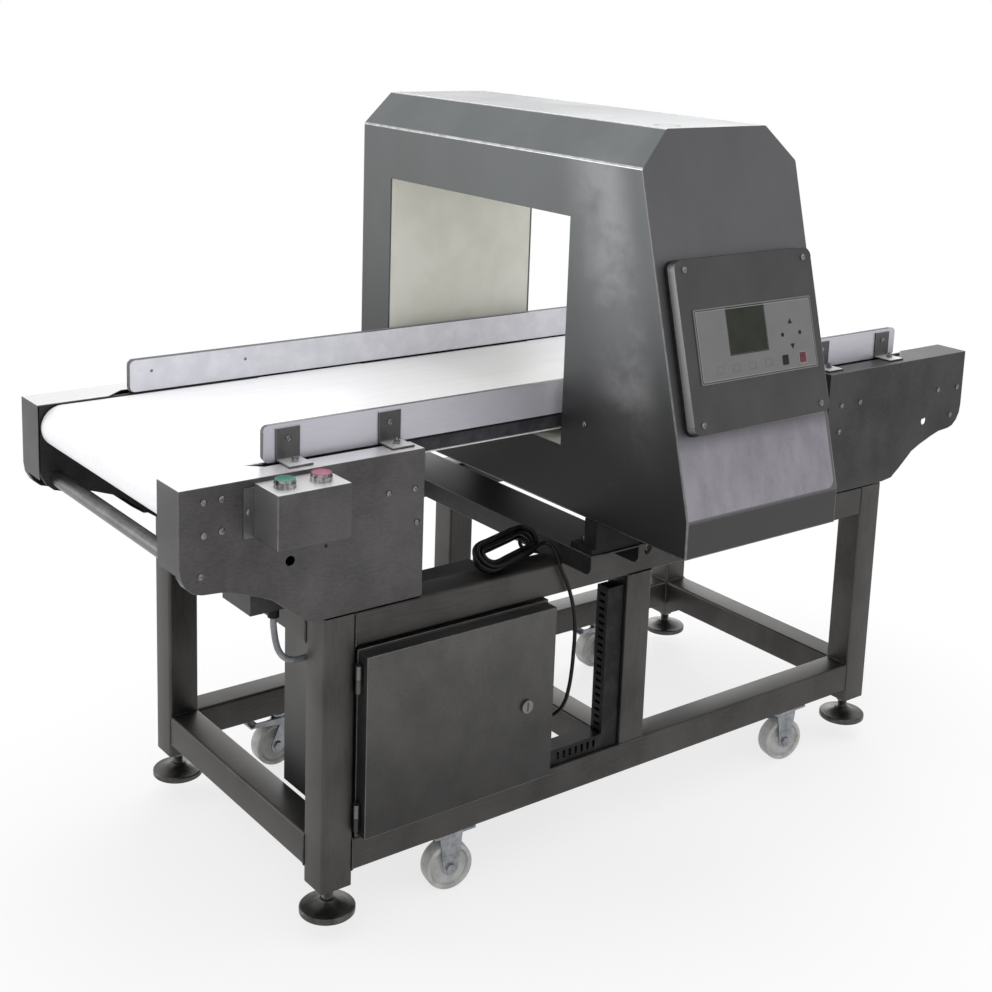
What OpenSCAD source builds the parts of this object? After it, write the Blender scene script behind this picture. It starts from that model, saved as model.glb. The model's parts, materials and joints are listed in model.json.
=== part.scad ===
// Conveyor food metal detector, in millimetres.
// X runs along the belt, -Y is the operator's side, Z is up from the floor under the casters.
// The part's origin is on the floor at the middle of its bounding box. The shapes are drawn
// round the middle of the belt, and belt_y moves them to the part's frame.

/* [Stand] */
// Length of the stand over its legs
stand_length = 1140; // [1000:10:1300]
// Margin of the stand outside each edge of the belt
stand_margin = 62.5; // [60:0.5:80]
// Height of the top rails' upper face
stand_top = 482; // [440:1:560]
// Height of the bottom rails' lower face
bottom_rail_z = 98; // [96:1:110]
// Side of the square tube
tube = 50; // [45:1:60]
// Wall of the square tube
tube_wall = 2; // [1.5:0.5:3]

/* [Levelling feet] */
// Diameter of a foot's disc
foot_disc_d = 80; // [60:1:100]
// Diameter of a foot's threaded stem
foot_stem_d = 16; // [12:1:20]
// Height of the raised discs above the floor
foot_lift = 33; // [20:1:40]

/* [Casters] */
// Diameter of a caster wheel
wheel_d = 75; // [60:1:76]
// Width of a caster wheel
wheel_width = 26; // [20:1:30]
// Distance of the left casters from the stand's left end
caster_left_inset = 230; // [170:1:260]
// Distance of the right casters from the stand's right end
caster_right_inset = 190; // [170:1:260]
// Trail of a swivel caster's wheel behind its swivel
caster_trail = 28; // [20:1:30]

/* [Conveyor] */
// Length of the conveyor over its housings
conveyor_length = 1560; // [1460:10:1700]
// Width of the belt
belt_width = 400; // [340:5:460]
// Height of the belt's upper face above the stand
belt_rise = 213; // [200:1:240]
// Thickness of the belt
belt_thick = 2; // [1.5:0.5:3]
// Diameter of the drive roller and the tail roller
roller_d = 60; // [50:1:62]
// Diameter of the return rollers
return_roller_d = 30; // [26:1:34]
// Thickness of the slider bed under the belt
bed_thick = 21; // [15:1:22]
// Length of an end housing
housing_length = 366; // [340:1:400]
// Width of an end housing
housing_width = 62; // [60:1:66]
// Sheet of the end housings
housing_sheet = 2; // [1:0.5:3]
// Diameter of the tie bars under the belt's ends
tie_bar_d = 23; // [18:1:26]

/* [Side guides] */
// Length of a side guide
guide_length = 1272; // [1150:1:1330]
// Height of a side guide
guide_height = 51; // [40:1:70]
// Thickness of a guide's white strip
strip_thick = 8; // [5:0.5:9]

/* [Switch box] */
// Length of the switch box
button_box_length = 107; // [100:1:115]
// Depth of the switch box from the housing
button_box_depth = 62; // [56:1:70]
// Height of the switch box
button_box_height = 72; // [64:1:78]
// Diameter of a push button's bezel
bezel_d = 30; // [26:1:32]
// Travel of a push button
button_travel = 4; // [3:0.5:5]

/* [Detector head] */
// Length of the head along the belt
head_length = 304; // [280:1:340]
// Height of the head from its underside to its roof
head_height = 574; // [550:1:620]
// Depth of the head's underside
head_depth = 832; // [800:1:860]
// Distance of the skirt's face in front of the belt's middle
head_front = 511; // [500:1:530]
// Height of the vertical skirt
skirt_height = 54; // [40:1:70]
// Lean of the front face, in degrees
front_lean = 15.2; // [12:0.1:17]
// Height of the chamfered shoulders
shoulder_height = 52; // [40:1:60]
// Depth of the chamfered shoulders
shoulder_depth = 54; // [40:1:60]
// Sheet of the head
head_sheet = 3; // [2:0.5:4]
// Gap between each edge of the belt and the tunnel's wall
tunnel_side_gap = 36; // [30:1:45]
// Height of the tunnel above the belt
tunnel_height = 303; // [280:1:320]
// Space of the tunnel under the belt's upper face
tunnel_under = 40; // [38:1:50]
// Thickness of the tunnel liner
liner_thick = 8; // [5:0.5:12]

/* [Operator cover] */
// Width of the operator cover
cover_width = 272; // [260:1:274]
// Height of the operator cover along the slope
cover_height = 241; // [230:1:250]
// Thickness of the operator cover
cover_thick = 15; // [12:0.5:20]
// Thickness of the cover's gasket
gasket_thick = 5; // [3:0.5:6]
// Width of the keypad plate
keypad_width = 234; // [225:1:240]
// Height of the keypad plate
keypad_height = 104; // [100:1:110]
// Width of the display
display_width = 74; // [70:1:80]
// Height of the display
display_height = 64; // [56:1:68]

/* [Control cabinet] */
// Gap between the cabinet box and the wire duct
cabinet_gap = 24; // [18:1:40]
// Depth of the cabinet box
cabinet_depth = 200; // [150:5:240]
// Gap between the cabinet box and the top rail
cabinet_top_gap = 4; // [2:1:20]
// Sheet of the cabinet
cabinet_sheet = 2; // [1.5:0.5:2.5]
// Thickness of the cabinet door
door_thick = 20; // [16:1:24]

/* [Cables] */
// Diameter of the head cable
cable_d = 6; // [5:0.5:6]
// Diameter of the motor's conduit
conduit_d = 9; // [8:0.5:9]

/* [Hidden] */

// Clearances and small shared sizes
run_gap = 0.3;
shaft_gap = 0.05;
cut = 1;
round_fn = 64;
small_fn = 32;

// Stand
belt_top = stand_top + belt_rise;
leg_x = stand_length / 2 - tube / 2;
stand_depth = belt_width + 2 * stand_margin;
stand_front = stand_depth / 2;
leg_y = stand_front - tube / 2;
bottom_rail_top = bottom_rail_z + tube;
leg_below_rail = 21;
leg_bottom = bottom_rail_z - leg_below_rail;
top_rail_z = stand_top - tube;
long_rail_length = stand_length - 2 * tube;
cross_rail_length = stand_depth - 2 * tube;
stem_plate = 8;

// Channels that carry the head
channel_inner_x = 67;
channel_width = 96;
channel_height = 30;
channel_sheet = 3;
channel_front_overhang = 67;
channel_back_overhang = 37;
channel_front = stand_front + channel_front_overhang;
channel_back = stand_front + channel_back_overhang;
channel_corner = 12;
channel_top = stand_top + channel_height;

// Feet
stem_r = foot_stem_d / 2;
foot_disc_thick = 10;
foot_cone_height = 10;
foot_cone_share = 0.32;
foot_stem_inside = 58;
foot_stem_top = leg_bottom + foot_stem_inside;
locknut_thick = 10;
locknut_share = 0.8;
locknut_r = foot_stem_d * locknut_share;

// Casters
wheel_r = wheel_d / 2;
caster_left_x = stand_length / 2 - caster_left_inset;
caster_right_x = stand_length / 2 - caster_right_inset;
caster_y = leg_y;
fork_sheet = 3;
fork_side_gap = 1;
fork_width = wheel_width + 2 * fork_side_gap + 2 * fork_sheet;
fork_arm_length = 36;
caster_plate = 4;
caster_plate_side = 46;
caster_plate_long = 72;
fork_top = bottom_rail_z - caster_plate;
axle_r = 5;
axle_head_r = 8;
axle_head = 4;
swivel_boss_r = 16;
swivel_gap = 0.5;
swivel_boss = 4;
kingpin_r = 5;
wheel_corner = 5;
hub_r = 15;
hub_recess = 2;
fork_yaw = -11;
pedal_thick = 3;
pedal_pin_r = 3;
pedal_pin_out = 6;
pedal_pivot_share = 0.2;
pedal_pivot_x = caster_trail * pedal_pivot_share;
pedal_pivot_drop = 13;
pedal_pivot_z = fork_top - pedal_pivot_drop;
pedal_eye_r = 7;
pedal_clear = 4;
pedal_cheek = 4;
pedal_tread = 12;
pedal_high = 4;
pedal_depth = 8;

// Conveyor
housing_end = conveyor_length / 2;
housing_inner = housing_end - housing_length;
housing_out_y = stand_front;
housing_in_y = stand_front - housing_width;
housing_above_belt = 3;
housing_top = belt_top + housing_above_belt;
housing_foot_gap = 2;
housing_foot = stand_top + housing_foot_gap;
plate_thick = 6;
plate_side_gap = 3;
plate_y = belt_width / 2 + plate_side_gap;
plate_top = housing_top - housing_sheet;
plate_foot_thick = 6;
plate_foot_width = 44;
roller_r = roller_d / 2;
roller_setback = 37;
roller_x = housing_end - roller_setback;
roller_z = belt_top - belt_thick - roller_r;
roller_end_gap = 2;
roller_length = belt_width - 2 * roller_end_gap;
roller_shaft_r = 10;
roller_shaft_out = 12;
return_r = return_roller_d / 2;
return_setback = 27;
return_x = housing_inner + return_setback;
return_belt_gap = 2;
return_belt_top = belt_top - belt_thick - bed_thick - return_belt_gap;
return_z = return_belt_top - belt_thick - return_r;
return_shaft_r = 6;
bearing_r = 20;
return_bearing_r = 12;
bearing_thick = 12;
bearing_rim = 5;
bed_end_gap = 2;
bed_half = roller_x - roller_r - bed_end_gap;
bed_lug = 60;
tie_bar_setback = 30;
tie_bar_x = housing_end - tie_bar_setback;
tie_bar_drop = 81;
tie_bar_z = roller_z - tie_bar_drop;
guide_cut_depth = 24;
guide_cut_long = 140;
guide_cut_slant = 30;
lip_width = 15;
cable_hole_r = 7;

// Drive
motor_setback = 175;
motor_x = housing_end - motor_setback;
motor_rise = 47;
motor_z = stand_top + motor_rise;
gearbox_side = 88;
gearbox_depth = 80;
motor_r = 38;
motor_length = 150;
fin_rise = 3;
fin_thick = 4;
motor_shaft_r = 8;
shaft_hole_share = 1.6;
pulley_r = 18;
pulley_width = 18;
pulley_flange_r = 22;
pulley_flange = 2;
pulley_gap = 18;
pulley_y = plate_y + plate_thick + pulley_gap;
shaft_beyond_pulley = 3;
drive_belt_thick = 2;
drive_belt_width = 16;

// Side guides
guide_gap = 2;
guide_z = belt_top + guide_gap;
guide_sheet = 1.5;
strip_side_gap = 2.5;
strip_y = belt_width / 2 + strip_side_gap;
guide_y = strip_y + strip_thick;
guide_out_y = guide_y + guide_sheet;
guide_corner = 9;
strip_margin = 3;
bracket_width = 36;
bracket_thick = 3;
bracket_height = 45;
bracket_foot = 38;
bracket_setback = 36;
bracket_xs = [guide_length / 2 - bracket_setback, housing_inner + return_setback];
bracket_screw_share = 2 / 3;
bracket_screw_z = bracket_height * bracket_screw_share;
bracket_bolt_share = 0.55;
bracket_bolt_y = guide_out_y + bracket_foot * bracket_bolt_share;

// Fasteners
screw_r = 2.5;
screw_head_r = 4.5;
screw_head = 3;
screw_length = 8;
nut_r = 5;
nut_thick = 4;
head_dome_share = 1.4;
mount_bolt_r = 5;
mount_bolt_head_r = 7.5;
mount_bolt_head = 6;
mount_nut = 7;
mount_bolt_end = 1;
washer_r = 9;
washer_thick = 2;

// Switch box
box_sheet = 1.5;
box_setback = 104;
box_left = housing_end - box_setback;
box_right = box_left - button_box_length;
box_below_belt = 3;
box_top = belt_top - box_below_belt;
box_z = box_top - button_box_height;
box_front = stand_front + button_box_depth;
box_flange = 15.5;
box_flange_drop = 4;
switch_y = stand_front + button_box_depth / 2;
start_inset = 27;
stop_inset = 80;
start_x = box_left - start_inset;
stop_x = box_left - stop_inset;
bezel_r = bezel_d / 2;
bezel_wall = 1.3;
bezel_base = 1;
bezel_height = 6.5;
cap_r = bezel_r - bezel_wall - run_gap;
cap_brim = 2.4;
cap_stem_r = cap_r - cap_brim;
cap_edge = 1;
cap_rise = 11;
cap_disc_z = box_top + bezel_base + button_travel + run_gap;
cap_depth = 8;
barrel_inset = 2;
barrel_r = bezel_r - barrel_inset;
barrel_depth = 34;
contact_side = 24;
contact_height = 20;

// Head
head_lift = 49;
head_z = channel_top + head_lift;
head_back = head_depth - head_front;
head_top = head_z + head_height;
skirt_top = head_z + skirt_height;
tunnel_width = belt_width + 2 * tunnel_side_gap;
tunnel_floor = belt_top - tunnel_under;
tunnel_roof = belt_top + tunnel_height;
coil_side = 14;
coil_thick = 16;
coil_spacing = 80;
mount_flange = 8;
mount_flange_depth = 48;
mount_front_setback = 184;
mount_front_y = head_front - mount_front_setback;
mount_block_depth = 27;
mount_back_setback = 37;
mount_back_y = head_back - mount_back_setback;
mount_height = head_z - channel_top;
mount_block_gap = 7;
mount_bolt_side = 71;
mount_bolt_x = channel_inner_x + mount_bolt_side;
mount_bolt_inset = 11;
side_screw_back = 222;
side_screw_rise = 85;

// Operator cover, placed along the slope of the head
cover_low = 115;
cover_wall = 2;
cover_corner = 14;
keypad_above_edge = 67;
keypad_low = cover_low + keypad_above_edge;
keypad_mid_x = 4;
keypad_thick = 1.5;
keypad_corner = 3;
display_mid_x = -14;
display_rise = 36;
display_low = keypad_low + display_rise;
display_depth = 14;
display_proud = 0.8;
cover_hatch_share = 0.8;
gasket_proud = 1;
board_gap = 16;
board_thick = 2;
standoff_r = 4;
key_side = 12;
key_corner = 3;
key_rise = 0.8;
key_x_shares = [0.218, 0.295, 0.372];
key_row_shares = [0.163, 0.346, 0.51, 0.673];
soft_key_x_shares = [-0.338, -0.205, -0.068, 0.073];
soft_key_height = 8;
soft_key_corner = 2.4;
cover_screw_side = 18;
cover_screw_x = cover_width / 2 - cover_screw_side;
cover_screw_margin = 14;

// Cabinet
duct_left = 160;
cabinet_side_gap = 3;
cabinet_left = stand_length / 2 - tube - cabinet_side_gap;
cabinet_right = duct_left + cabinet_gap;
cabinet_z = bottom_rail_top;
cabinet_height = top_rail_z - cabinet_top_gap - cabinet_z;
cabinet_lip = 15;
cabinet_back = stand_front - cabinet_depth;
door_gap = 0.5;
door_side_gap = 3;
door_end_gap = 5;
door_left = cabinet_left - door_side_gap;
door_z = cabinet_z + door_end_gap;
door_high = cabinet_height - 2 * door_end_gap;
hinge_side = 2;
hinge_out = 6;
hinge_x = cabinet_left + hinge_side;
hinge_y = stand_front + hinge_out;
hinge_r = 4.5;
hinge_pin_r = 2;
hinge_length = 40;
hinge_leaf = 1.6;
hinge_low_margin = 14;
hinge_high_margin = 20;
hinge_zs = [cabinet_z + hinge_low_margin, cabinet_z + cabinet_height - hinge_high_margin - hinge_length];
lock_inset = 51;
lock_rise = 131;
lock_x = cabinet_right + lock_inset;
lock_z = cabinet_z + lock_rise;
lock_r = 7;
lock_head_r = 10;
lock_head = 4;
lock_slot = 2;
cam_length = 42;
cam_width = 12;
cam_thick = 2.5;
unit_margin = 18;
unit_plate = 2;
terminal_size = [200, 45, 40];
inverter_top_gap = 16;
inverter_size = [110, 95, cabinet_height - 3 * unit_margin - terminal_size[2] - inverter_top_gap];
supply_size = [90, 60, 110];

// Wire duct
duct_width = 32;
duct_depth = 25;
duct_wall = 1.5;
duct_setback = 8;
duct_post_gap = 2;
duct_top_gap = 17;
duct_front = stand_front - duct_setback;
duct_right = tube / 2 + duct_post_gap;
duct_top = top_rail_z - duct_top_gap;
slot_pitch = 12;
slot_width = 5;

// Cables, each a list of round points chosen by hand
cable_r = cable_d / 2;
gland_length = 14;
gland_r = 8;
gland_hole_share = 0.7;
cabinet_gland_in = 19.5;
cabinet_gland_rise = 76;
conduit_gland_in = 67.5;
conduit_gland_drop = 24;
head_gland_in = 111;
head_gland_side = 40;
motor_gland_out = 2;
motor_gland_in = 13;
cabinet_gland = [-cabinet_right, -stand_front + cabinet_gland_in, cabinet_z + cabinet_gland_rise];
conduit_gland = [-cabinet_left, -stand_front + conduit_gland_in,
    cabinet_z + cabinet_height - conduit_gland_drop];
head_gland = [-head_length / 2 + head_gland_side, -head_front + head_gland_in, head_z];
motor_gland = [-motor_x - motor_gland_out, -plate_y + motor_gland_in, motor_z - gearbox_side / 2];
cabinet_route = [[-170, -243, 224], [-164, -243, 224], [-156, -246, 227], [-149, -254, 236],
    [-145, -263, 252], [-142, -268, 275], [-139, -270, 305], [-137, -270, 335], [-136, -270, 365],
    [-138, -270, 390], [-143, -270, 414], [-150, -270, 436], [-157, -270, 453], [-164, -270, 466],
    [-169, -269, 477], [-171, -266, 487], [-170, -259, 496], [-170, -249, 503], [-172, -241, 507],
    [-178, -238, 508]];
head_route = [[-112, -400, 547], [-112, -400, 541], [-110, -396, 532], [-104, -386, 524],
    [-92, -370, 520], [-70, -350, 516], [-48, -330, 510], [-36, -305, 502], [-34, -280, 493],
    [-36, -255, 489], [-38, -236, 489], [-42, -218, 488], [-48, -208, 485], [-56, -203, 479],
    [-66, -200, 471], [-82, -196, 466], [-104, -190, 465], [-126, -184, 466], [-144, -180, 469],
    [-158, -178, 474], [-170, -178, 480], [-177, -180, 489], [-180, -184, 499], [-183, -189, 508],
    [-188, -193, 513]];
conduit_route = [[-607, -190, 471], [-607, -190, 462], [-606, -191, 448], [-604, -192, 434],
    [-600, -193, 421], [-593, -194, 411], [-583, -195, 405], [-571, -195, 403], [-559, -195, 403],
    [-547, -195, 404], [-538, -195, 404], [-531, -195, 404]];

belt_y = head_front - head_depth / 2;

// Shared shapes

// Copies a shape drawn on the operator's side to the other side of the belt
module both_sides() {
    children();
    mirror([0, 1, 0]) children();
}

// Copies a shape drawn at the infeed end to the outfeed end
module both_ends() {
    children();
    mirror([1, 0, 0]) children();
}

// Round bar along Y from y0 to y1
module bar_y(x, z, r, y0, y1, fn = round_fn) {
    translate([x, y0, z]) rotate([-90, 0, 0]) cylinder(r = r, h = y1 - y0, $fn = fn);
}

// Round bar along X from x0 to x1
module bar_x(y, z, r, x0, x1, fn = round_fn) {
    translate([x0, y, z]) rotate([0, 90, 0]) cylinder(r = r, h = x1 - x0, $fn = fn);
}

// Round bar along Z from z0 to z1
module bar_z(x, y, r, z0, z1, fn = round_fn) {
    translate([x, y, z0]) cylinder(r = r, h = z1 - z0, $fn = fn);
}

module block(x0, x1, y0, y1, z0, z1) {
    translate([x0, y0, z0]) cube([x1 - x0, y1 - y0, z1 - z0]);
}

// Square tube along X, Y or Z, centred on its axis
module square_tube(length, along) {
    turn = along == "x" ? [0, 90, 0] : along == "y" ? [-90, 0, 0] : [0, 0, 0];
    rotate(turn) translate([0, 0, -length / 2]) difference() {
        translate([-tube / 2, -tube / 2, 0]) cube([tube, tube, length]);
        translate([-tube / 2 + tube_wall, -tube / 2 + tube_wall, -cut])
            cube([tube - 2 * tube_wall, tube - 2 * tube_wall, length + 2 * cut]);
    }
}

// Flat rectangle with round corners, centred
module round_rect(width, height, corner) {
    square([width - 2 * corner, height], center = true);
    square([width, height - 2 * corner], center = true);
    for (sx = [-1, 1], sy = [-1, 1])
        translate([sx * (width / 2 - corner), sy * (height / 2 - corner)]) circle(r = corner, $fn = small_fn);
}

// Moves shapes drawn in x, along the slope and out from it onto the head's front face
module on_slope() {
    translate([0, -head_front, skirt_top]) rotate([90 - front_lean, 0, 0]) children();
}

// Smooth tube along hand-chosen points
function unit(v) = v / norm(v);
function ring_side(t) = unit(abs(t[2]) > 0.9 ? cross(t, [0, 1, 0]) : cross(t, [0, 0, 1]));
function tangent(p, i) = unit(p[min(i + 1, len(p) - 1)] - p[max(i - 1, 0)]);
function carried(side, t) = unit(side - t * (side * t));
function sides_along(p, i = 0, side = undef, out = []) =
    i == len(p) ? out :
    let (t = tangent(p, i), s = i == 0 ? ring_side(t) : carried(side, t))
    sides_along(p, i + 1, s, concat(out, [s]));
module swept_tube(p, r, facets) {
    s = sides_along(p);
    rings = [for (i = [0:len(p) - 1]) let (t = tangent(p, i), u = s[i], v = cross(t, u))
        for (k = [0:facets - 1]) p[i] + r * (cos(360 * k / facets) * u + sin(360 * k / facets) * v)];
    last = (len(p) - 1) * facets;
    faces = concat([[for (k = [0:facets - 1]) k]],
        [[for (k = [facets - 1:-1:0]) last + k]],
        [for (i = [0:len(p) - 2], k = [0:facets - 1]) let (a = i * facets + k,
            b = i * facets + (k + 1) % facets) [a, a + facets, b]],
        [for (i = [0:len(p) - 2], k = [0:facets - 1]) let (a = i * facets + k,
            b = i * facets + (k + 1) % facets) [b, a + facets, b + facets]]);
    polyhedron(points = rings, faces = faces);
}

// Stand

module leg() {
    difference() {
        block(-tube / 2, tube / 2, -tube / 2, tube / 2, leg_bottom, stand_top);
        block(-tube / 2 + tube_wall, tube / 2 - tube_wall, -tube / 2 + tube_wall, tube / 2 - tube_wall,
            leg_bottom + stem_plate, stand_top - tube_wall);
        bar_z(0, 0, stem_r + shaft_gap, leg_bottom - cut, leg_bottom + stem_plate + cut);
    }
}

module legs() {
    color([0.62, 0.61, 0.6]) both_ends() both_sides() translate([-leg_x, -leg_y, 0]) leg();
}

module rails() {
    color([0.6, 0.59, 0.58]) {
        for (z = [bottom_rail_z + tube / 2, stand_top - tube / 2]) {
            both_sides() translate([0, -leg_y, z]) square_tube(long_rail_length, "x");
            both_ends() translate([-leg_x, 0, z]) square_tube(cross_rail_length, "y");
        }
    }
}

module middle_posts() {
    color([0.6, 0.59, 0.58]) {
        both_sides() translate([0, -leg_y, (bottom_rail_top + top_rail_z) / 2])
            square_tube(top_rail_z - bottom_rail_top, "z");
        translate([0, 0, bottom_rail_z + tube / 2]) square_tube(cross_rail_length, "y");
    }
}

// Folded channel, open downwards, with its lower front corners rounded
module channel() {
    x0 = -channel_inner_x - channel_width;
    x1 = -channel_inner_x;
    difference() {
        block(x0, x1, -channel_front, channel_back, stand_top, channel_top);
        block(x0 + channel_sheet, x1 - channel_sheet, -channel_front - cut, channel_back + cut,
            stand_top - cut, channel_top - channel_sheet);
        difference() {
            block(x0 - cut, x1 + cut, -channel_front - cut, -channel_front + channel_corner,
                stand_top - cut, stand_top + channel_corner);
            bar_x(-channel_front + channel_corner, stand_top + channel_corner, channel_corner,
                x0 - 2 * cut, x1 + 2 * cut);
        }
        for (y = [-mount_front_y + mount_flange_depth - mount_bolt_inset,
                mount_back_y - mount_flange_depth + mount_bolt_inset])
            bar_z(-mount_bolt_x, y, mount_bolt_r, channel_top - channel_sheet - cut, channel_top + cut);
    }
}

module cross_channels() {
    color([0.6, 0.58, 0.58]) both_ends() channel();
}

// Levelling foot: disc, cone and threaded stem
module foot(x, y) {
    color([0.5, 0.5, 0.5]) translate([x, y, 0]) {
        bar_z(0, 0, foot_disc_d / 2, foot_lift, foot_lift + foot_disc_thick);
        translate([0, 0, foot_lift + foot_disc_thick])
            cylinder(r1 = foot_disc_d * foot_cone_share, r2 = stem_r, h = foot_cone_height, $fn = round_fn);
        bar_z(0, 0, stem_r, foot_lift + foot_disc_thick, foot_stem_top);
    }
}

// Casters

module wheel(x, y, yaw) {
    color([0.85, 0.85, 0.83]) translate([x, y, wheel_r]) rotate([90, 0, yaw]) difference() {
        rotate_extrude($fn = round_fn) difference() {
            union() {
                translate([0, -wheel_width / 2 + wheel_corner])
                    square([wheel_r, wheel_width - 2 * wheel_corner]);
                translate([0, -wheel_width / 2]) square([wheel_r - wheel_corner, wheel_width]);
                for (s = [-1, 1]) translate([wheel_r - wheel_corner, s * (wheel_width / 2 - wheel_corner)])
                    circle(r = wheel_corner, $fn = small_fn);
            }
            for (s = [-1, 1]) translate([hub_r, s * wheel_width / 2 - hub_recess])
                square([wheel_r - hub_r - 2 * wheel_corner, 2 * hub_recess]);
            translate([-wheel_r, -wheel_width]) square([wheel_r, 2 * wheel_width]);
        }
        translate([0, 0, -wheel_width]) cylinder(r = axle_r + shaft_gap, h = 2 * wheel_width, $fn = round_fn);
    }
}

// Fork with two arms, a crown and the axle, drawn round its swivel at trail 0
module fork_body(trail, plate_z) {
    color([0.72, 0.71, 0.68]) difference() {
        union() {
            for (s = [-1, 1]) {
                y0 = s > 0 ? fork_width / 2 - fork_sheet : -fork_width / 2;
                hull() {
                    bar_y(trail, wheel_r, fork_arm_length / 3, y0, y0 + fork_sheet, small_fn);
                    block(-fork_arm_length / 2, fork_arm_length / 2, y0, y0 + fork_sheet,
                        plate_z - fork_sheet, plate_z);
                }
            }
            block(-fork_arm_length / 2, fork_arm_length / 2, -fork_width / 2, fork_width / 2,
                plate_z - fork_sheet, plate_z);
        }
    }
    color([0.6, 0.6, 0.58]) {
        bar_y(trail, wheel_r, axle_r, -fork_width / 2 - axle_head, fork_width / 2 + axle_head);
        both_sides() bar_y(trail, wheel_r, axle_head_r, fork_width / 2, fork_width / 2 + axle_head, 6);
    }
}

module caster_plate_shape() {
    block(-caster_plate_long / 2, caster_plate_long / 2, -caster_plate_side / 2, caster_plate_side / 2,
        fork_top, bottom_rail_z);
}

module fixed_forks() {
    for (x = [-caster_left_x, caster_right_x]) translate([x, -caster_y, 0]) rotate([0, 0, fork_yaw]) {
        fork_body(0, fork_top);
        color([0.72, 0.71, 0.68]) rotate([0, 0, -fork_yaw]) caster_plate_shape();
    }
}

module swivel_plates() {
    color([0.72, 0.71, 0.68]) for (x = [-caster_left_x, caster_right_x]) translate([x, caster_y, 0]) {
        difference() {
            union() {
                caster_plate_shape();
                bar_z(0, 0, swivel_boss_r, fork_top - swivel_boss, fork_top);
            }
            bar_z(0, 0, kingpin_r + shaft_gap, fork_top - swivel_boss - cut, fork_top + caster_plate / 2);
        }
    }
}

module swivel_fork(x) {
    translate([x, caster_y, 0]) {
        fork_body(-caster_trail, fork_top - swivel_boss - swivel_gap);
        color([0.6, 0.6, 0.58]) bar_z(0, 0, kingpin_r, fork_top - swivel_boss - swivel_gap, fork_top);
        color([0.6, 0.6, 0.58]) both_sides()
            bar_y(pedal_pivot_x, pedal_pivot_z, pedal_pin_r, fork_width / 2, fork_width / 2 + pedal_pin_out);
    }
}

// Brake pedal: two cheeks on the fork's pins and a tread beyond the wheel
module brake_pedal(x) {
    cheek_y = fork_width / 2 + run_gap;
    wheel_back = -caster_trail - wheel_r - pedal_clear;
    tread_z = fork_top - pedal_high - pedal_depth;
    color([0.35, 0.36, 0.4]) translate([x, caster_y, 0]) difference() {
        union() {
            for (y0 = [-cheek_y - pedal_thick, cheek_y]) hull() {
                bar_y(pedal_pivot_x, pedal_pivot_z, pedal_eye_r, y0, y0 + pedal_thick, small_fn);
                block(wheel_back - pedal_cheek, wheel_back, y0, y0 + pedal_thick, tread_z,
                    tread_z + pedal_depth);
            }
            block(wheel_back - pedal_tread, wheel_back, -cheek_y - pedal_thick, cheek_y + pedal_thick,
                tread_z, tread_z + pedal_thick);
            block(wheel_back - pedal_cheek, wheel_back, -cheek_y - pedal_thick, cheek_y + pedal_thick,
                tread_z, tread_z + pedal_depth);
        }
        bar_y(pedal_pivot_x, pedal_pivot_z, pedal_pin_r + shaft_gap, -fork_width, fork_width);
    }
}

// Conveyor

// Lower edge of an end housing as shares of its length and height, from the end towards the middle
housing_edge_shares = [[1, 0.53], [0.994, 0.46], [0.975, 0.4], [0.945, 0.356], [0.912, 0.34],
    [0.84, 0.33], [0.78, 0.3], [0.694, 0.248], [0.64, 0.206], [0.61, 0.164], [0.55, 0.079],
    [0.515, 0.037], [0.495, 0.014], [0.43, 0]];
// How far an inset moves a point of that edge, along X and up, as shares of the inset
edge_inset_share = [0.6, 0.8];

// Outline of an end housing in X and Z, drawn at the outfeed end
function housing_edge(inset) = [for (s = housing_edge_shares)
    [min(housing_inner + s[0] * housing_length, housing_end) - edge_inset_share[0] * inset,
    housing_foot + s[1] * (housing_top - housing_foot) + edge_inset_share[1] * inset]];
function housing_outline(inset) = concat([[housing_inner + inset, housing_top - inset],
    [housing_end - inset, housing_top - inset]], [for (p = housing_edge(inset))
    [min(p[0], housing_end - inset), p[1]]],
    [[housing_inner + inset, housing_foot + edge_inset_share[1] * inset]]);

// Sheet along Y with an outline drawn in X and Z, from y0 to y1
module upright_sheet(y0, y1) {
    translate([0, y1, 0]) rotate([90, 0, 0]) linear_extrude(y1 - y0) children();
}

// Screw places on the housings as shares of their length and height
infeed_screw_shares = [[0.907, 0.909], [0.839, 0.911], [0.907, 0.708], [0.839, 0.715],
    [0.158, 0.743], [0.041, 0.743], [0.03, 0.514]];
outfeed_screw_shares = [[0.09, 0.729], [0.219, 0.729], [0.085, 0.514], [0.806, 0.701], [0.956, 0.696]];
infeed_hole_share = [0.571, 0.437];
outfeed_hole_share = [0.713, 0.451];

function on_housing(s) = [housing_inner + s[0] * housing_length,
    housing_foot + s[1] * (housing_top - housing_foot)];

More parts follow.
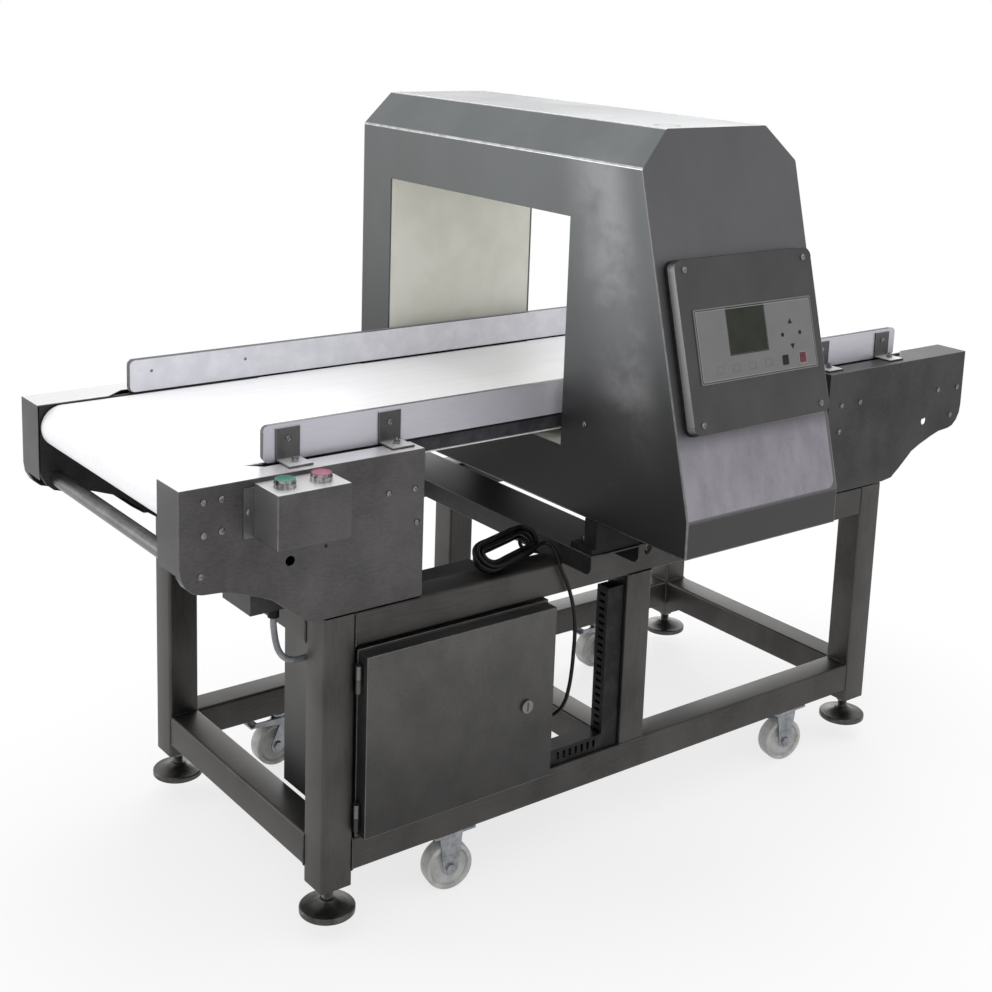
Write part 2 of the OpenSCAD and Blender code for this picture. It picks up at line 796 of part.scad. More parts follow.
// End housing on the operator's side at the outfeed end: a pan open to the belt
module housing(screws, hole) {
    difference() {
        upright_sheet(-housing_out_y, -housing_in_y) polygon(housing_outline(0));
        upright_sheet(-housing_out_y + housing_sheet, -housing_in_y + cut)
            polygon(housing_outline(housing_sheet));
        block(housing_inner + housing_sheet, housing_end - housing_sheet,
            -housing_out_y + lip_width, -housing_in_y + cut,
            housing_foot - cut, on_housing([1, 0.53])[1]);
        linear_extrude(housing_top + cut) polygon([
            [housing_inner - cut, -housing_in_y + cut],
            [housing_inner - cut, -housing_in_y - guide_cut_depth],
            [housing_end - guide_cut_long, -housing_in_y - guide_cut_depth],
            [housing_end - guide_cut_long + guide_cut_slant, -housing_in_y],
            [housing_end - guide_cut_long + guide_cut_slant, -housing_in_y + cut]]);
        for (s = screws) bar_y(on_housing(s)[0], on_housing(s)[1], screw_r, -housing_out_y - cut,
            -housing_in_y, small_fn);
        bar_y(tie_bar_x, tie_bar_z, screw_r, -housing_out_y - cut, -housing_in_y, small_fn);
        bar_y(on_housing(hole)[0], on_housing(hole)[1], cable_hole_r, -housing_out_y - cut,
            -housing_in_y, small_fn);
    }
}

module infeed_housings() {
    color([0.45, 0.44, 0.44]) mirror([1, 0, 0]) {
        difference() {
            housing(infeed_screw_shares, infeed_hole_share);
            bar_y(box_left + box_flange / 2, box_z + button_box_height / 2, screw_r,
                -housing_out_y - cut, -housing_in_y, small_fn);
        }
        mirror([0, 1, 0]) housing(infeed_screw_shares, infeed_hole_share);
    }
}

module outfeed_housings() {
    color([0.43, 0.43, 0.44]) both_sides() housing(outfeed_screw_shares, outfeed_hole_share);
}

// Side plate inside a housing, with its foot on the top rail
module side_plate() {
    difference() {
        union() {
            upright_sheet(-plate_y - plate_thick, -plate_y) polygon(concat(
                [[housing_inner + 2 * housing_sheet, plate_top]],
                [[housing_end - 2 * housing_sheet, plate_top]],
                [for (p = housing_edge(3 * housing_sheet))
                    [min(p[0], housing_end - 2 * housing_sheet), p[1]]],
                [[housing_inner + 2 * housing_sheet, housing_foot]]));
            block(housing_inner + 2 * housing_sheet, leg_x + tube / 2 - plate_foot_thick,
                -plate_y - plate_foot_width, -plate_y, stand_top, stand_top + plate_foot_thick);
        }
        bar_y(roller_x, roller_z, bearing_r, -plate_y - plate_thick - cut, -plate_y + cut);
        bar_y(return_x, return_z, return_bearing_r, -plate_y - plate_thick - cut, -plate_y + cut);
        bar_y(tie_bar_x, tie_bar_z, tie_bar_d / 2, -plate_y - plate_thick - cut, -plate_y + cut);
        bar_y(motor_x, motor_z, motor_shaft_r * shaft_hole_share, -plate_y - plate_thick - cut, -plate_y + cut);
    }
}

module side_plates() {
    color([0.4, 0.4, 0.42]) both_ends() both_sides() side_plate();
}

module tie_bars() {
    color([0.35, 0.35, 0.37]) both_ends() difference() {
        bar_y(tie_bar_x, tie_bar_z, tie_bar_d / 2, -housing_out_y + housing_sheet, housing_out_y - housing_sheet);
        both_sides() bar_y(tie_bar_x, tie_bar_z, screw_r, -housing_out_y, -housing_out_y + screw_length + cut,
            small_fn);
    }
}

module slider_bed() {
    bed_top = belt_top - belt_thick;
    color([0.5, 0.49, 0.55]) {
        block(-bed_half, bed_half, -belt_width / 2, belt_width / 2, bed_top - bed_thick, bed_top);
        both_ends() both_sides() block(housing_inner + bed_lug, housing_inner + 2 * bed_lug,
            -plate_y, -belt_width / 2, bed_top - bed_thick, bed_top - bed_thick / 3);
    }
}

// Angle of the belt's inclined stretch and where its faces leave the rollers
belt_drop = roller_z - return_z;
belt_run = roller_x - return_x;
belt_slope = asin((roller_r + return_r + belt_thick) / norm([belt_run, belt_drop])) - atan2(belt_drop, belt_run);
// Point where the inclined lower face at distance r from the end roller meets the level stretch
function belt_low(r) = [roller_x - sin(belt_slope) * r, roller_z - cos(belt_slope) * r];
function belt_bend(r) = let (p = belt_low(r), z = return_belt_top - (r - roller_r))
    [p[0] - (z - p[1]) / tan(belt_slope), z];

// Everything inside the belt's face that lies at distance r from the end rollers' axes
module belt_body(r, half) {
    low = belt_low(r);
    bend = belt_bend(r);
    upright_sheet(-half, half) polygon([[-roller_x, roller_z + r], [roller_x, roller_z + r], low, bend,
        [-bend[0], bend[1]], [-low[0], low[1]]]);
    both_ends() bar_y(roller_x, roller_z, r, -half, half);
}

module belt() {
    color([0.93, 0.93, 0.95]) difference() {
        belt_body(roller_r + belt_thick, belt_width / 2);
        belt_body(roller_r, belt_width);
    }
}

// Roller at the outfeed end with its shaft, crowned by nothing: a plain tube with end caps
module end_roller(front_reach) {
    color([0.55, 0.55, 0.57]) {
        bar_y(roller_x, roller_z, roller_r - run_gap, -roller_length / 2, roller_length / 2);
        bar_y(roller_x, roller_z, roller_shaft_r, -front_reach, -roller_length / 2);
        bar_y(roller_x, roller_z, roller_shaft_r, roller_length / 2, plate_y + roller_shaft_out);
    }
}

module drive_roller() {
    mirror([1, 0, 0]) end_roller(pulley_y + pulley_width / 2 + pulley_flange + shaft_beyond_pulley);
}

module tail_roller() {
    end_roller(plate_y + roller_shaft_out);
}

module return_roller() {
    color([0.55, 0.55, 0.57]) {
        bar_y(return_x, return_z, return_r - run_gap, -roller_length / 2, roller_length / 2);
        both_sides() bar_y(return_x, return_z, return_shaft_r, -plate_y - roller_shaft_out, -roller_length / 2);
    }
}

module return_roller_infeed() {
    mirror([1, 0, 0]) return_roller();
}

module return_roller_outfeed() {
    return_roller();
}

module bearing(x, z, outer, inner) {
    difference() {
        union() {
            bar_y(x, z, outer, -plate_y - plate_thick, -plate_y);
            bar_y(x, z, outer + bearing_rim, -plate_y - bearing_thick, -plate_y - plate_thick);
        }
        bar_y(x, z, inner + shaft_gap, -plate_y - bearing_thick - cut, -plate_y + cut);
    }
}

module roller_bearings() {
    color([0.3, 0.32, 0.36]) both_ends() both_sides() {
        bearing(roller_x, roller_z, bearing_r, roller_shaft_r);
        bearing(return_x, return_z, return_bearing_r, return_shaft_r);
    }
}

module gear_motor() {
    color([0.35, 0.38, 0.42]) mirror([1, 0, 0]) difference() {
        union() {
            block(motor_x - gearbox_side / 2, motor_x + gearbox_side / 2, -plate_y, -plate_y + gearbox_depth,
                motor_z - gearbox_side / 2, motor_z + gearbox_side / 2);
            bar_y(motor_x, motor_z, motor_r, -plate_y + gearbox_depth, -plate_y + gearbox_depth + motor_length);
            for (i = [1:6]) translate([0, -plate_y + gearbox_depth + i * motor_length / 7, 0])
                bar_y(motor_x, motor_z, motor_r + fin_rise, -fin_thick, 0);
        }
        bar_y(motor_x, motor_z, motor_shaft_r + shaft_gap, -plate_y - cut, -plate_y + gearbox_depth / 2);
    }
}

// Pulley for the toothed belt, with its two flanges
module pulley(x, z, bore) {
    difference() {
        union() {
            bar_y(x, z, pulley_r, -pulley_y - pulley_width / 2, -pulley_y + pulley_width / 2);
            for (s = [-1, 1]) bar_y(x, z, pulley_flange_r,
                -pulley_y + s * (pulley_width + pulley_flange) / 2 - pulley_flange / 2,
                -pulley_y + s * (pulley_width + pulley_flange) / 2 + pulley_flange / 2);
        }
        bar_y(x, z, bore, -pulley_y - pulley_width, -pulley_y + pulley_width);
    }
}

module motor_pulley() {
    mirror([1, 0, 0]) {
        color([0.5, 0.5, 0.5]) pulley(motor_x, motor_z, motor_shaft_r);
        color([0.6, 0.6, 0.6]) bar_y(motor_x, motor_z, motor_shaft_r,
            -pulley_y - pulley_width / 2 - pulley_flange, -plate_y + gearbox_depth / 2 - cut);
    }
}

module roller_pulley() {
    color([0.5, 0.5, 0.5]) mirror([1, 0, 0]) pulley(roller_x, roller_z, roller_shaft_r);
}

// Everything inside a loop round both pulleys, at distance r from their axes
module pulley_loop(r, half) {
    run = [roller_x - motor_x, roller_z - motor_z];
    side = [-run[1], run[0]] * r / norm(run);
    upright_sheet(-pulley_y - half, -pulley_y + half) polygon([[motor_x, motor_z] + side,
        [roller_x, roller_z] + side, [roller_x, roller_z] - side, [motor_x, motor_z] - side]);
    bar_y(motor_x, motor_z, r, -pulley_y - half, -pulley_y + half);
    bar_y(roller_x, roller_z, r, -pulley_y - half, -pulley_y + half);
}

module drive_belt() {
    color([0.12, 0.12, 0.12]) mirror([1, 0, 0]) difference() {
        pulley_loop(pulley_r + run_gap + drive_belt_thick, drive_belt_width / 2);
        pulley_loop(pulley_r + run_gap, drive_belt_width);
    }
}

// Side guides

module guide_plate(margin, y0, y1) {
    upright_sheet(y0, y1) translate([0, guide_z + guide_height / 2])
        round_rect(guide_length - 2 * margin, guide_height - 2 * margin, guide_corner - margin / 2);
}

module guide_rails() {
    color([0.62, 0.61, 0.62]) both_sides() difference() {
        guide_plate(0, -guide_out_y, -guide_y);
        for (x = bracket_xs, s = [-1, 1]) bar_y(s * x, housing_top + bracket_screw_z, screw_r,
            -guide_out_y - cut, -guide_y + cut, small_fn);
    }
}

module guide_strips() {
    color([0.92, 0.91, 0.95]) both_sides() difference() {
        guide_plate(strip_margin / 3, -guide_y, -strip_y);
        for (x = bracket_xs, s = [-1, 1]) bar_y(s * x, housing_top + bracket_screw_z, screw_r,
            -guide_y - cut, -strip_y + cut, small_fn);
    }
}

module guide_bracket(x) {
    difference() {
        union() {
            block(x - bracket_width / 2, x + bracket_width / 2, -guide_out_y - bracket_thick, -guide_out_y,
                housing_top, housing_top + bracket_height);
            block(x - bracket_width / 2, x + bracket_width / 2, -guide_out_y - bracket_foot,
                -guide_out_y - bracket_thick, housing_top, housing_top + bracket_thick);
        }
        bar_y(x, housing_top + bracket_screw_z, screw_r, -guide_out_y - bracket_thick - cut, -guide_out_y + cut,
            small_fn);
        bar_z(x, -bracket_bolt_y, screw_r, housing_top - cut, housing_top + bracket_thick + cut, small_fn);
    }
}

module guide_brackets() {
    color([0.6, 0.6, 0.6]) both_ends() both_sides() for (x = bracket_xs) guide_bracket(x);
}

// Fasteners

// Round-head screw whose head lies on z = 0 and whose shank goes down
module screw(length) {
    translate([0, 0, -length]) cylinder(r = screw_r, h = length, $fn = small_fn);
    difference() {
        intersection() {
            translate([0, 0, screw_head - screw_head_r * head_dome_share])
                sphere(r = screw_head_r * head_dome_share, $fn = round_fn);
            cylinder(r = screw_head_r, h = 2 * screw_head, $fn = small_fn);
        }
        translate([0, 0, screw_head / 2]) cylinder(r = screw_r / 2, h = screw_head, $fn = 6);
    }
}

module screw_on_face(x, y, z, length) {
    translate([x, y, z]) rotate([90, 0, 0]) screw(length);
}

module mount_bolt(y) {
    translate([-mount_bolt_x, y, 0]) {
        bar_z(0, 0, mount_bolt_r, channel_top - channel_sheet - mount_nut - mount_bolt_end,
            channel_top + mount_flange + washer_thick);
        bar_z(0, 0, washer_r, channel_top + mount_flange, channel_top + mount_flange + washer_thick);
        bar_z(0, 0, mount_bolt_head_r, channel_top + mount_flange + washer_thick,
            channel_top + mount_flange + washer_thick + mount_bolt_head, 6);
        bar_z(0, 0, mount_bolt_head_r, channel_top - channel_sheet - mount_nut, channel_top - channel_sheet, 6);
    }
}

module foot_locknut(x, y) {
    translate([x, y, 0]) difference() {
        bar_z(0, 0, locknut_r, leg_bottom - locknut_thick, leg_bottom, 6);
        bar_z(0, 0, stem_r + shaft_gap, leg_bottom - locknut_thick - cut, leg_bottom + cut);
    }
}

module fasteners() {
    color([0.68, 0.68, 0.68]) {
        both_sides() {
            for (s = infeed_screw_shares) screw_on_face(-on_housing(s)[0], -housing_out_y, on_housing(s)[1],
                screw_length);
            for (s = outfeed_screw_shares) screw_on_face(on_housing(s)[0], -housing_out_y, on_housing(s)[1],
                screw_length);
        }
        both_ends() both_sides() {
            screw_on_face(tie_bar_x, -housing_out_y, tie_bar_z, housing_sheet + screw_length - cut);
            for (x = bracket_xs) {
                screw_on_face(x, -guide_out_y - bracket_thick, housing_top + bracket_screw_z,
                    bracket_thick + guide_sheet + strip_thick / 2 + strip_thick / 2);
                translate([0, 0, housing_top + bracket_thick]) {
                    bar_z(x, -bracket_bolt_y, screw_r, -bracket_thick, nut_thick * 2, small_fn);
                    difference() {
                        bar_z(x, -bracket_bolt_y, nut_r, 0, nut_thick, 6);
                        bar_z(x, -bracket_bolt_y, screw_r, -cut, nut_thick + cut, small_fn);
                    }
                }
            }
        }
        both_ends() for (y = [-mount_front_y + mount_flange_depth - mount_bolt_inset,
            mount_back_y - mount_flange_depth + mount_bolt_inset]) mount_bolt(y);
        both_ends() both_sides() foot_locknut(-leg_x, -leg_y);
        screw_on_face(-box_left - box_flange / 2, -stand_front - box_sheet, box_z + button_box_height / 2,
            box_sheet + screw_length);
        on_slope() for (x = [-cover_screw_x, cover_screw_x],
            y = [cover_low + cover_screw_margin, cover_low + cover_height - cover_screw_margin])
            translate([x, y, gasket_thick + cover_thick]) screw(gasket_thick + cover_thick + 2 * head_sheet);
        translate([-head_length / 2, -head_front + side_screw_back, skirt_top + side_screw_rise])
            rotate([0, -90, 0]) screw(screw_length);
    }
}

// Switch box

module switch_box() {
    color([0.5, 0.49, 0.49]) difference() {
        union() {
            difference() {
                block(-box_left, -box_right, -box_front, -stand_front, box_z, box_top);
                block(-box_left + box_sheet, -box_right - box_sheet, -box_front + box_sheet, -stand_front + cut,
                    box_z + box_sheet, box_top - box_sheet);
            }
            block(-box_left - box_flange, -box_left, -stand_front - box_sheet, -stand_front, box_z,
                box_top - box_flange_drop);
        }
        for (x = [start_x, stop_x]) bar_z(-x, -switch_y, barrel_r, box_top - 2 * box_sheet, box_top + cut);
        bar_y(-box_left - box_flange / 2, box_z + button_box_height / 2, screw_r, -stand_front - 2 * box_sheet,
            -stand_front + cut, small_fn);
    }
}

module switch_body(x) {
    translate([-x, -switch_y, 0]) {
        color([0.75, 0.74, 0.7]) difference() {
            union() {
                bar_z(0, 0, bezel_r, box_top, box_top + bezel_height);
                bar_z(0, 0, barrel_r, box_top - barrel_depth, box_top);
            }
            bar_z(0, 0, cap_r + run_gap, box_top + bezel_base, box_top + bezel_height + cut);
            bar_z(0, 0, cap_stem_r + run_gap, box_top - cap_depth - button_travel - 2 * run_gap,
                box_top + bezel_height);
        }
        color([0.2, 0.2, 0.2]) block(-contact_side / 2, contact_side / 2, -contact_side / 2, contact_side / 2,
            box_top - barrel_depth - contact_height, box_top - barrel_depth);
    }
}

module switch_bodies() {
    switch_body(start_x);
    switch_body(stop_x);
}

// Button cap: a stem in the barrel and a round head that stands above the bezel
module button_cap(x) {
    top = box_top + cap_rise;
    translate([-x, -switch_y, 0]) {
        bar_z(0, 0, cap_stem_r, box_top - cap_depth, cap_disc_z);
        bar_z(0, 0, cap_r, cap_disc_z, top - cap_edge);
        bar_z(0, 0, cap_r - cap_edge, top - cap_edge, top);
    }
}

module start_button() {
    color([0.15, 0.45, 0.33]) button_cap(start_x);
}

module stop_button() {
    color([0.62, 0.14, 0.12]) button_cap(stop_x);
}

// Detector head

// Solid form of the head, its walls moved inwards by inset
module head_form(inset) {
    lean_shift = inset * tan(front_lean / 2);
    chamfer = atan2(shoulder_depth, shoulder_height);
    side_shift = inset * tan(chamfer / 2);
    roof_shift = inset * tan((90 - chamfer) / 2);
    half = head_length / 2;
    intersection() {
        upright_sheet(-head_front - cut, head_back + cut) polygon([
            [-half + inset, head_z + inset], [half - inset, head_z + inset],
            [half - inset, head_top - shoulder_height - side_shift],
            [half - shoulder_depth - roof_shift, head_top - inset],
            [-half + shoulder_depth + roof_shift, head_top - inset],
            [-half + inset, head_top - shoulder_height - side_shift]]);
        rotate([90, 0, 90]) translate([0, 0, -head_length]) linear_extrude(2 * head_length) polygon([
            [-head_front + inset, head_z + inset], [head_back - inset, head_z + inset],
            [head_back - inset, head_top - inset],
            [-head_front + (head_top - inset - skirt_top) * tan(front_lean) + inset / cos(front_lean),
                head_top - inset],
            [-head_front + inset, skirt_top - lean_shift]]);
    }
}

module tunnel_block(grow, half) {
    block(-half, half, -tunnel_width / 2 - grow, tunnel_width / 2 + grow, tunnel_floor - grow,
        tunnel_roof + grow);
}

module head_shell() {
    color([0.58, 0.57, 0.57]) difference() {
        head_form(0);
        head_form(head_sheet);
        tunnel_block(0, head_length);
        on_slope() translate([0, cover_low + cover_height / 2, -2 * head_sheet]) linear_extrude(4 * head_sheet)
            square([cover_width * cover_hatch_share, cover_height * cover_hatch_share], center = true);
        on_slope() for (x = [-cover_screw_x, cover_screw_x],
            y = [cover_low + cover_screw_margin, cover_low + cover_height - cover_screw_margin])
            translate([x, y, -3 * head_sheet]) cylinder(r = screw_r, h = 6 * head_sheet, $fn = small_fn);
        bar_z(head_gland[0], head_gland[1], gland_r * gland_hole_share, head_z - cut,
            head_z + 2 * head_sheet, small_fn);
        bar_x(-head_front + side_screw_back, skirt_top + side_screw_rise, screw_r, -head_length / 2 - cut,
            -head_length / 2 + 2 * head_sheet, small_fn);
    }
}

module tunnel_liner() {
    color([0.83, 0.8, 0.72]) difference() {
        tunnel_block(liner_thick, head_length / 2 - head_sheet);
        tunnel_block(0, head_length);
    }
}

module search_coils() {
    color([0.72, 0.42, 0.22]) for (i = [-1, 0, 1]) translate([i * coil_spacing, 0, 0]) difference() {
        tunnel_block(liner_thick + coil_thick, coil_side / 2);
        tunnel_block(liner_thick, coil_side);
    }
}

module cover_frame(grow, corner, z0, z1) {
    translate([0, cover_low + cover_height / 2, z0]) linear_extrude(z1 - z0)
        round_rect(cover_width + 2 * grow, cover_height + 2 * grow, corner);
}

module operator_cover() {
    front = gasket_thick + cover_thick;
    color([0.5, 0.49, 0.48]) on_slope() difference() {
        cover_frame(0, cover_corner, gasket_thick, front);
        cover_frame(-cover_wall, cover_corner - cover_wall, gasket_thick - cut, front - cover_wall);
        translate([display_mid_x - display_width / 2, display_low, front - 2 * cover_wall])
            cube([display_width, display_height, 3 * cover_wall]);
        for (x = [-cover_screw_x, cover_screw_x],
            y = [cover_low + cover_screw_margin, cover_low + cover_height - cover_screw_margin])
            translate([x, y, 0]) cylinder(r = screw_r, h = 2 * front, $fn = small_fn);
    }
}

module cover_gasket() {
    color([0.08, 0.08, 0.08]) on_slope() difference() {
        cover_frame(gasket_proud, cover_corner + gasket_proud, 0, gasket_thick);
        translate([0, cover_low + cover_height / 2, -cut]) linear_extrude(2 * gasket_thick)
            square([cover_width * cover_hatch_share, cover_height * cover_hatch_share], center = true);
        for (x = [-cover_screw_x, cover_screw_x],
            y = [cover_low + cover_screw_margin, cover_low + cover_height - cover_screw_margin])
            translate([x, y, -cut]) cylinder(r = screw_r, h = 2 * gasket_thick, $fn = small_fn);
    }
}

// Raised key at shares of the keypad's width and height
module key(share_x, share_y, width, height, corner) {
    translate([keypad_mid_x + share_x * keypad_width, keypad_low + share_y * keypad_height,
        gasket_thick + cover_thick + keypad_thick]) linear_extrude(key_rise) round_rect(width, height, corner);
}

module keypad_plate() {
    front = gasket_thick + cover_thick;
    color([0.8, 0.8, 0.8]) on_slope() {
        difference() {
            translate([keypad_mid_x, keypad_low + keypad_height / 2, front]) linear_extrude(keypad_thick)
                round_rect(keypad_width, keypad_height, keypad_corner);
            translate([display_mid_x - display_width / 2, display_low, front - cut])
                cube([display_width, display_height, keypad_thick + 2 * cut]);
        }
        for (k = [[1, 3], [0, 2], [2, 2], [1, 1], [0, 0], [2, 0]])
            key(key_x_shares[k[0]], key_row_shares[k[1]], key_side, key_side, key_corner);
        for (x = soft_key_x_shares) key(x, key_row_shares[0], key_side, soft_key_height, soft_key_corner);
    }
}

module display() {
    color([0.35, 0.4, 0.3]) on_slope() translate([display_mid_x - display_width / 2, display_low,
        gasket_thick + cover_thick + display_proud - display_depth]) cube([display_width, display_height,
        display_depth]);
}

module control_board() {
    front = gasket_thick + cover_thick - cover_wall;
    half_w = cover_width * cover_hatch_share / 2 - 2 * standoff_r;
    half_h = cover_height * cover_hatch_share / 2 - 2 * standoff_r;
    color([0.12, 0.4, 0.22]) on_slope() translate([0, cover_low + cover_height / 2, 0]) {
        translate([-half_w, -half_h, front - board_gap - board_thick])
            cube([2 * half_w, 2 * half_h, board_thick]);
        for (sx = [-1, 1], sy = [-1, 1]) translate([sx * (half_w - standoff_r), sy * (half_h - standoff_r),
            front - board_gap]) cylinder(r = standoff_r, h = board_gap, $fn = small_fn);
    }
}

// Black isolation mount: flange on the channel and a block under the head
module head_mount() {
    x0 = -channel_inner_x - channel_width + mount_block_gap / 2;
    x1 = -channel_inner_x;
    color([0.1, 0.1, 0.1]) difference() {
        union() {
            block(x0, x1, -mount_front_y, -mount_front_y + mount_flange_depth, channel_top,
                channel_top + mount_flange);
            block(x0 + mount_block_gap, x1, -mount_front_y, -mount_front_y + mount_block_depth, channel_top,
                channel_top + mount_height);
        }
        bar_z(-mount_bolt_x, -mount_front_y + mount_flange_depth - mount_bolt_inset, mount_bolt_r,
            channel_top - cut, channel_top + mount_flange + cut);
    }
}

module head_mounts() {
    both_ends() {
        head_mount();
        translate([0, mount_back_y - mount_front_y, 0]) mirror([0, 1, 0]) head_mount();
    }
}

// Cabinet

module cabinet_box() {
    color([0.5, 0.5, 0.49]) difference() {
        block(-cabinet_left, -cabinet_right, -stand_front, -cabinet_back, cabinet_z,
            cabinet_z + cabinet_height);
        block(-cabinet_left + cabinet_sheet, -cabinet_right - cabinet_sheet,
            -stand_front + cabinet_sheet, -cabinet_back - cabinet_sheet,
            cabinet_z + cabinet_sheet, cabinet_z + cabinet_height - cabinet_sheet);
        block(-cabinet_left + cabinet_lip, -cabinet_right - cabinet_lip,
            -stand_front - cut, -stand_front + 2 * cabinet_sheet,
            cabinet_z + cabinet_lip, cabinet_z + cabinet_height - cabinet_lip);
        bar_x(cabinet_gland[1], cabinet_gland[2], gland_r * gland_hole_share,
            -cabinet_right - 2 * cabinet_sheet, -cabinet_right + cut, small_fn);
        bar_x(conduit_gland[1], conduit_gland[2], gland_r * gland_hole_share, -cabinet_left - cut,
            -cabinet_left + 2 * cabinet_sheet, small_fn);
    }
}

// Door pan with the hinge knuckles on its left edge
module cabinet_door() {
    y1 = -stand_front - door_gap;
    y0 = y1 - door_thick;
    color([0.62, 0.61, 0.61]) {
        difference() {
            block(-door_left, -cabinet_right, y0, y1, door_z, door_z + door_high);
            block(-door_left + cabinet_sheet, -cabinet_right - cabinet_sheet, y0 + cabinet_sheet, y1 + cut,
                door_z + cabinet_sheet, door_z + door_high - cabinet_sheet);
            bar_y(-lock_x, lock_z, lock_r + shaft_gap, y0 - cut, y0 + 2 * cabinet_sheet);
        }
        for (z = hinge_zs) difference() {
            union() {
                bar_z(-hinge_x, -hinge_y, hinge_r, z, z + hinge_length / 2 - run_gap);
                block(-hinge_x, -door_left, -hinge_y - hinge_leaf / 2, -hinge_y + hinge_leaf / 2, z,
                    z + hinge_length / 2 - run_gap);
            }
            bar_z(-hinge_x, -hinge_y, hinge_pin_r + shaft_gap, z - cut, z + hinge_length);
        }
    }
}

// Frame halves of the hinges with their pins
module door_hinges() {
    color([0.55, 0.55, 0.55]) for (z = hinge_zs) {
        bar_z(-hinge_x, -hinge_y, hinge_r, z + hinge_length / 2, z + hinge_length);
        bar_z(-hinge_x, -hinge_y, hinge_pin_r, z, z + hinge_length / 2);
        block(-hinge_x, -hinge_x + hinge_leaf, -hinge_y, -stand_front + tube / 2, z + hinge_length / 2,
            z + hinge_length);
        block(-hinge_x, -cabinet_left, -stand_front + hinge_leaf, -stand_front + tube / 2, z + hinge_length / 2,
            z + hinge_length);
    }
}

// Quarter-turn lock: head, barrel and the cam that turns behind the cabinet's lip
module door_lock() {
    y1 = -stand_front - door_gap - door_thick;
    cam_y = -stand_front + cabinet_sheet + cam_thick;
    color([0.75, 0.75, 0.75]) difference() {
        union() {
            bar_y(-lock_x, lock_z, lock_head_r, y1 - lock_head, y1 - run_gap);
            bar_y(-lock_x, lock_z, lock_r, y1 - run_gap, cam_y);
            block(-lock_x - cam_width / 2, -lock_x + cam_width / 2, cam_y, cam_y + cam_thick,
                lock_z - cam_length, lock_z + lock_r);
        }
        block(-lock_x - lock_slot / 2, -lock_x + lock_slot / 2, y1 - lock_head - cut, y1 - lock_head / 2,
            lock_z - lock_r, lock_z + lock_r);
    }
}

module power_unit() {
    back = -cabinet_back - cabinet_sheet;
    x0 = -cabinet_left + unit_margin;
    z0 = cabinet_z + unit_margin;
    color([0.7, 0.7, 0.66]) block(x0, -cabinet_right - unit_margin, back - unit_plate, back, z0,
        cabinet_z + cabinet_height - unit_margin);
    color([0.25, 0.27, 0.3]) translate([x0 + unit_margin, back - unit_plate - inverter_size[1],
        z0 + unit_margin + terminal_size[2]]) cube(inverter_size);
    color([0.75, 0.75, 0.72]) translate([x0 + 2 * unit_margin + inverter_size[0],
        back - unit_plate - supply_size[1], z0 + 2 * unit_margin + terminal_size[2]]) cube(supply_size);
    color([0.3, 0.5, 0.4]) translate([x0 + unit_margin, back - unit_plate - terminal_size[1], z0])
        cube(terminal_size);
}

// Slotted wire duct: an upright on the middle post and a short run on the bottom rail
module duct_run(length, slots) {
    difference() {
        cube([duct_width, duct_depth, length]);
        translate([duct_wall, duct_wall, -cut]) cube([duct_width - 2 * duct_wall, duct_depth - 2 * duct_wall,
            length + 2 * cut]);
        for (i = [1:slots]) translate([-cut, duct_depth / 4, i * slot_pitch]) cube([duct_width + 2 * cut,
            duct_depth / 2, slot_width]);
    }
}

module wire_duct() {
    high = duct_top - bottom_rail_top;
    long = duct_left - duct_right - duct_width;
    color([0.3, 0.3, 0.32]) {
        translate([-duct_right - duct_width, -duct_front, bottom_rail_top])
            duct_run(high, floor(high / slot_pitch) - 1);
        translate([-duct_left, -duct_front, bottom_rail_top]) rotate([90, 0, 90])
            duct_run(long, floor(long / slot_pitch) - 1);
    }
}

// Cables

// Hank of head cable: layers of long loops, spiralling in and out, each climb along a run
hank_mid = [-240, -226, 507];
hank_heading_share = 0.205;
hank_climb_share = 0.11;
hank_along = unit([1, hank_heading_share, hank_climb_share]);
hank_lean = unit([0, 0.8, 0.6]);
hank_across = unit(hank_lean - hank_along * (hank_lean * hank_along));
hank_up = cross(hank_along, hank_across);
hank_run = 78;
hank_inner_r = 12;
hank_pitch = cable_d * 1.13;
hank_layers = 4;
loop_rings = 24;
climb_rings = 4;
layer_turns = 2;
hank_turns = hank_layers * layer_turns - 0.5;

function loop_place(i, r) =
    i < 8 ? [-hank_run / 2 - r * sin(180 * i / 8), r * cos(180 * i / 8)] :
    i < 12 ? [-hank_run / 2 + hank_run * (i - 8) / 4, -r] :
    i < 20 ? [hank_run / 2 + r * sin(180 * (i - 12) / 8), -r * cos(180 * (i - 12) / 8)] :
    [hank_run / 2 - hank_run * (i - 20) / 4, r];
function layer_share(n) = min(1, n / (layer_turns * loop_rings - climb_rings));
function hank_point(step) = let (layer = floor(step / (layer_turns * loop_rings)),
    n = step - layer * layer_turns * loop_rings, reach = hank_pitch * (layer_turns - climb_rings / loop_rings),
    inward = layer % 2 == 0, s = layer_share(n), r = hank_inner_r + reach * (inward ? 1 - s : s),
    climb = max(0, n - (layer_turns * loop_rings - climb_rings)) / climb_rings,
    p = loop_place(step % loop_rings, r),
    h = (layer + climb - (hank_layers - 1) / 2) * hank_pitch)
    hank_mid + hank_along * p[0] + hank_across * p[1] + hank_up * h;
hank_first = 20;
hank_last = hank_turns * loop_rings;
hank_turn_points = [for (i = [hank_first:hank_last]) hank_point(i)];
hank_points = concat([hank_turn_points[0] + hank_along * cable_d], hank_turn_points,
    [hank_turn_points[hank_last - hank_first] + hank_along * cable_d]);
hank_start = hank_points[0];
hank_end = hank_points[len(hank_points) - 1];

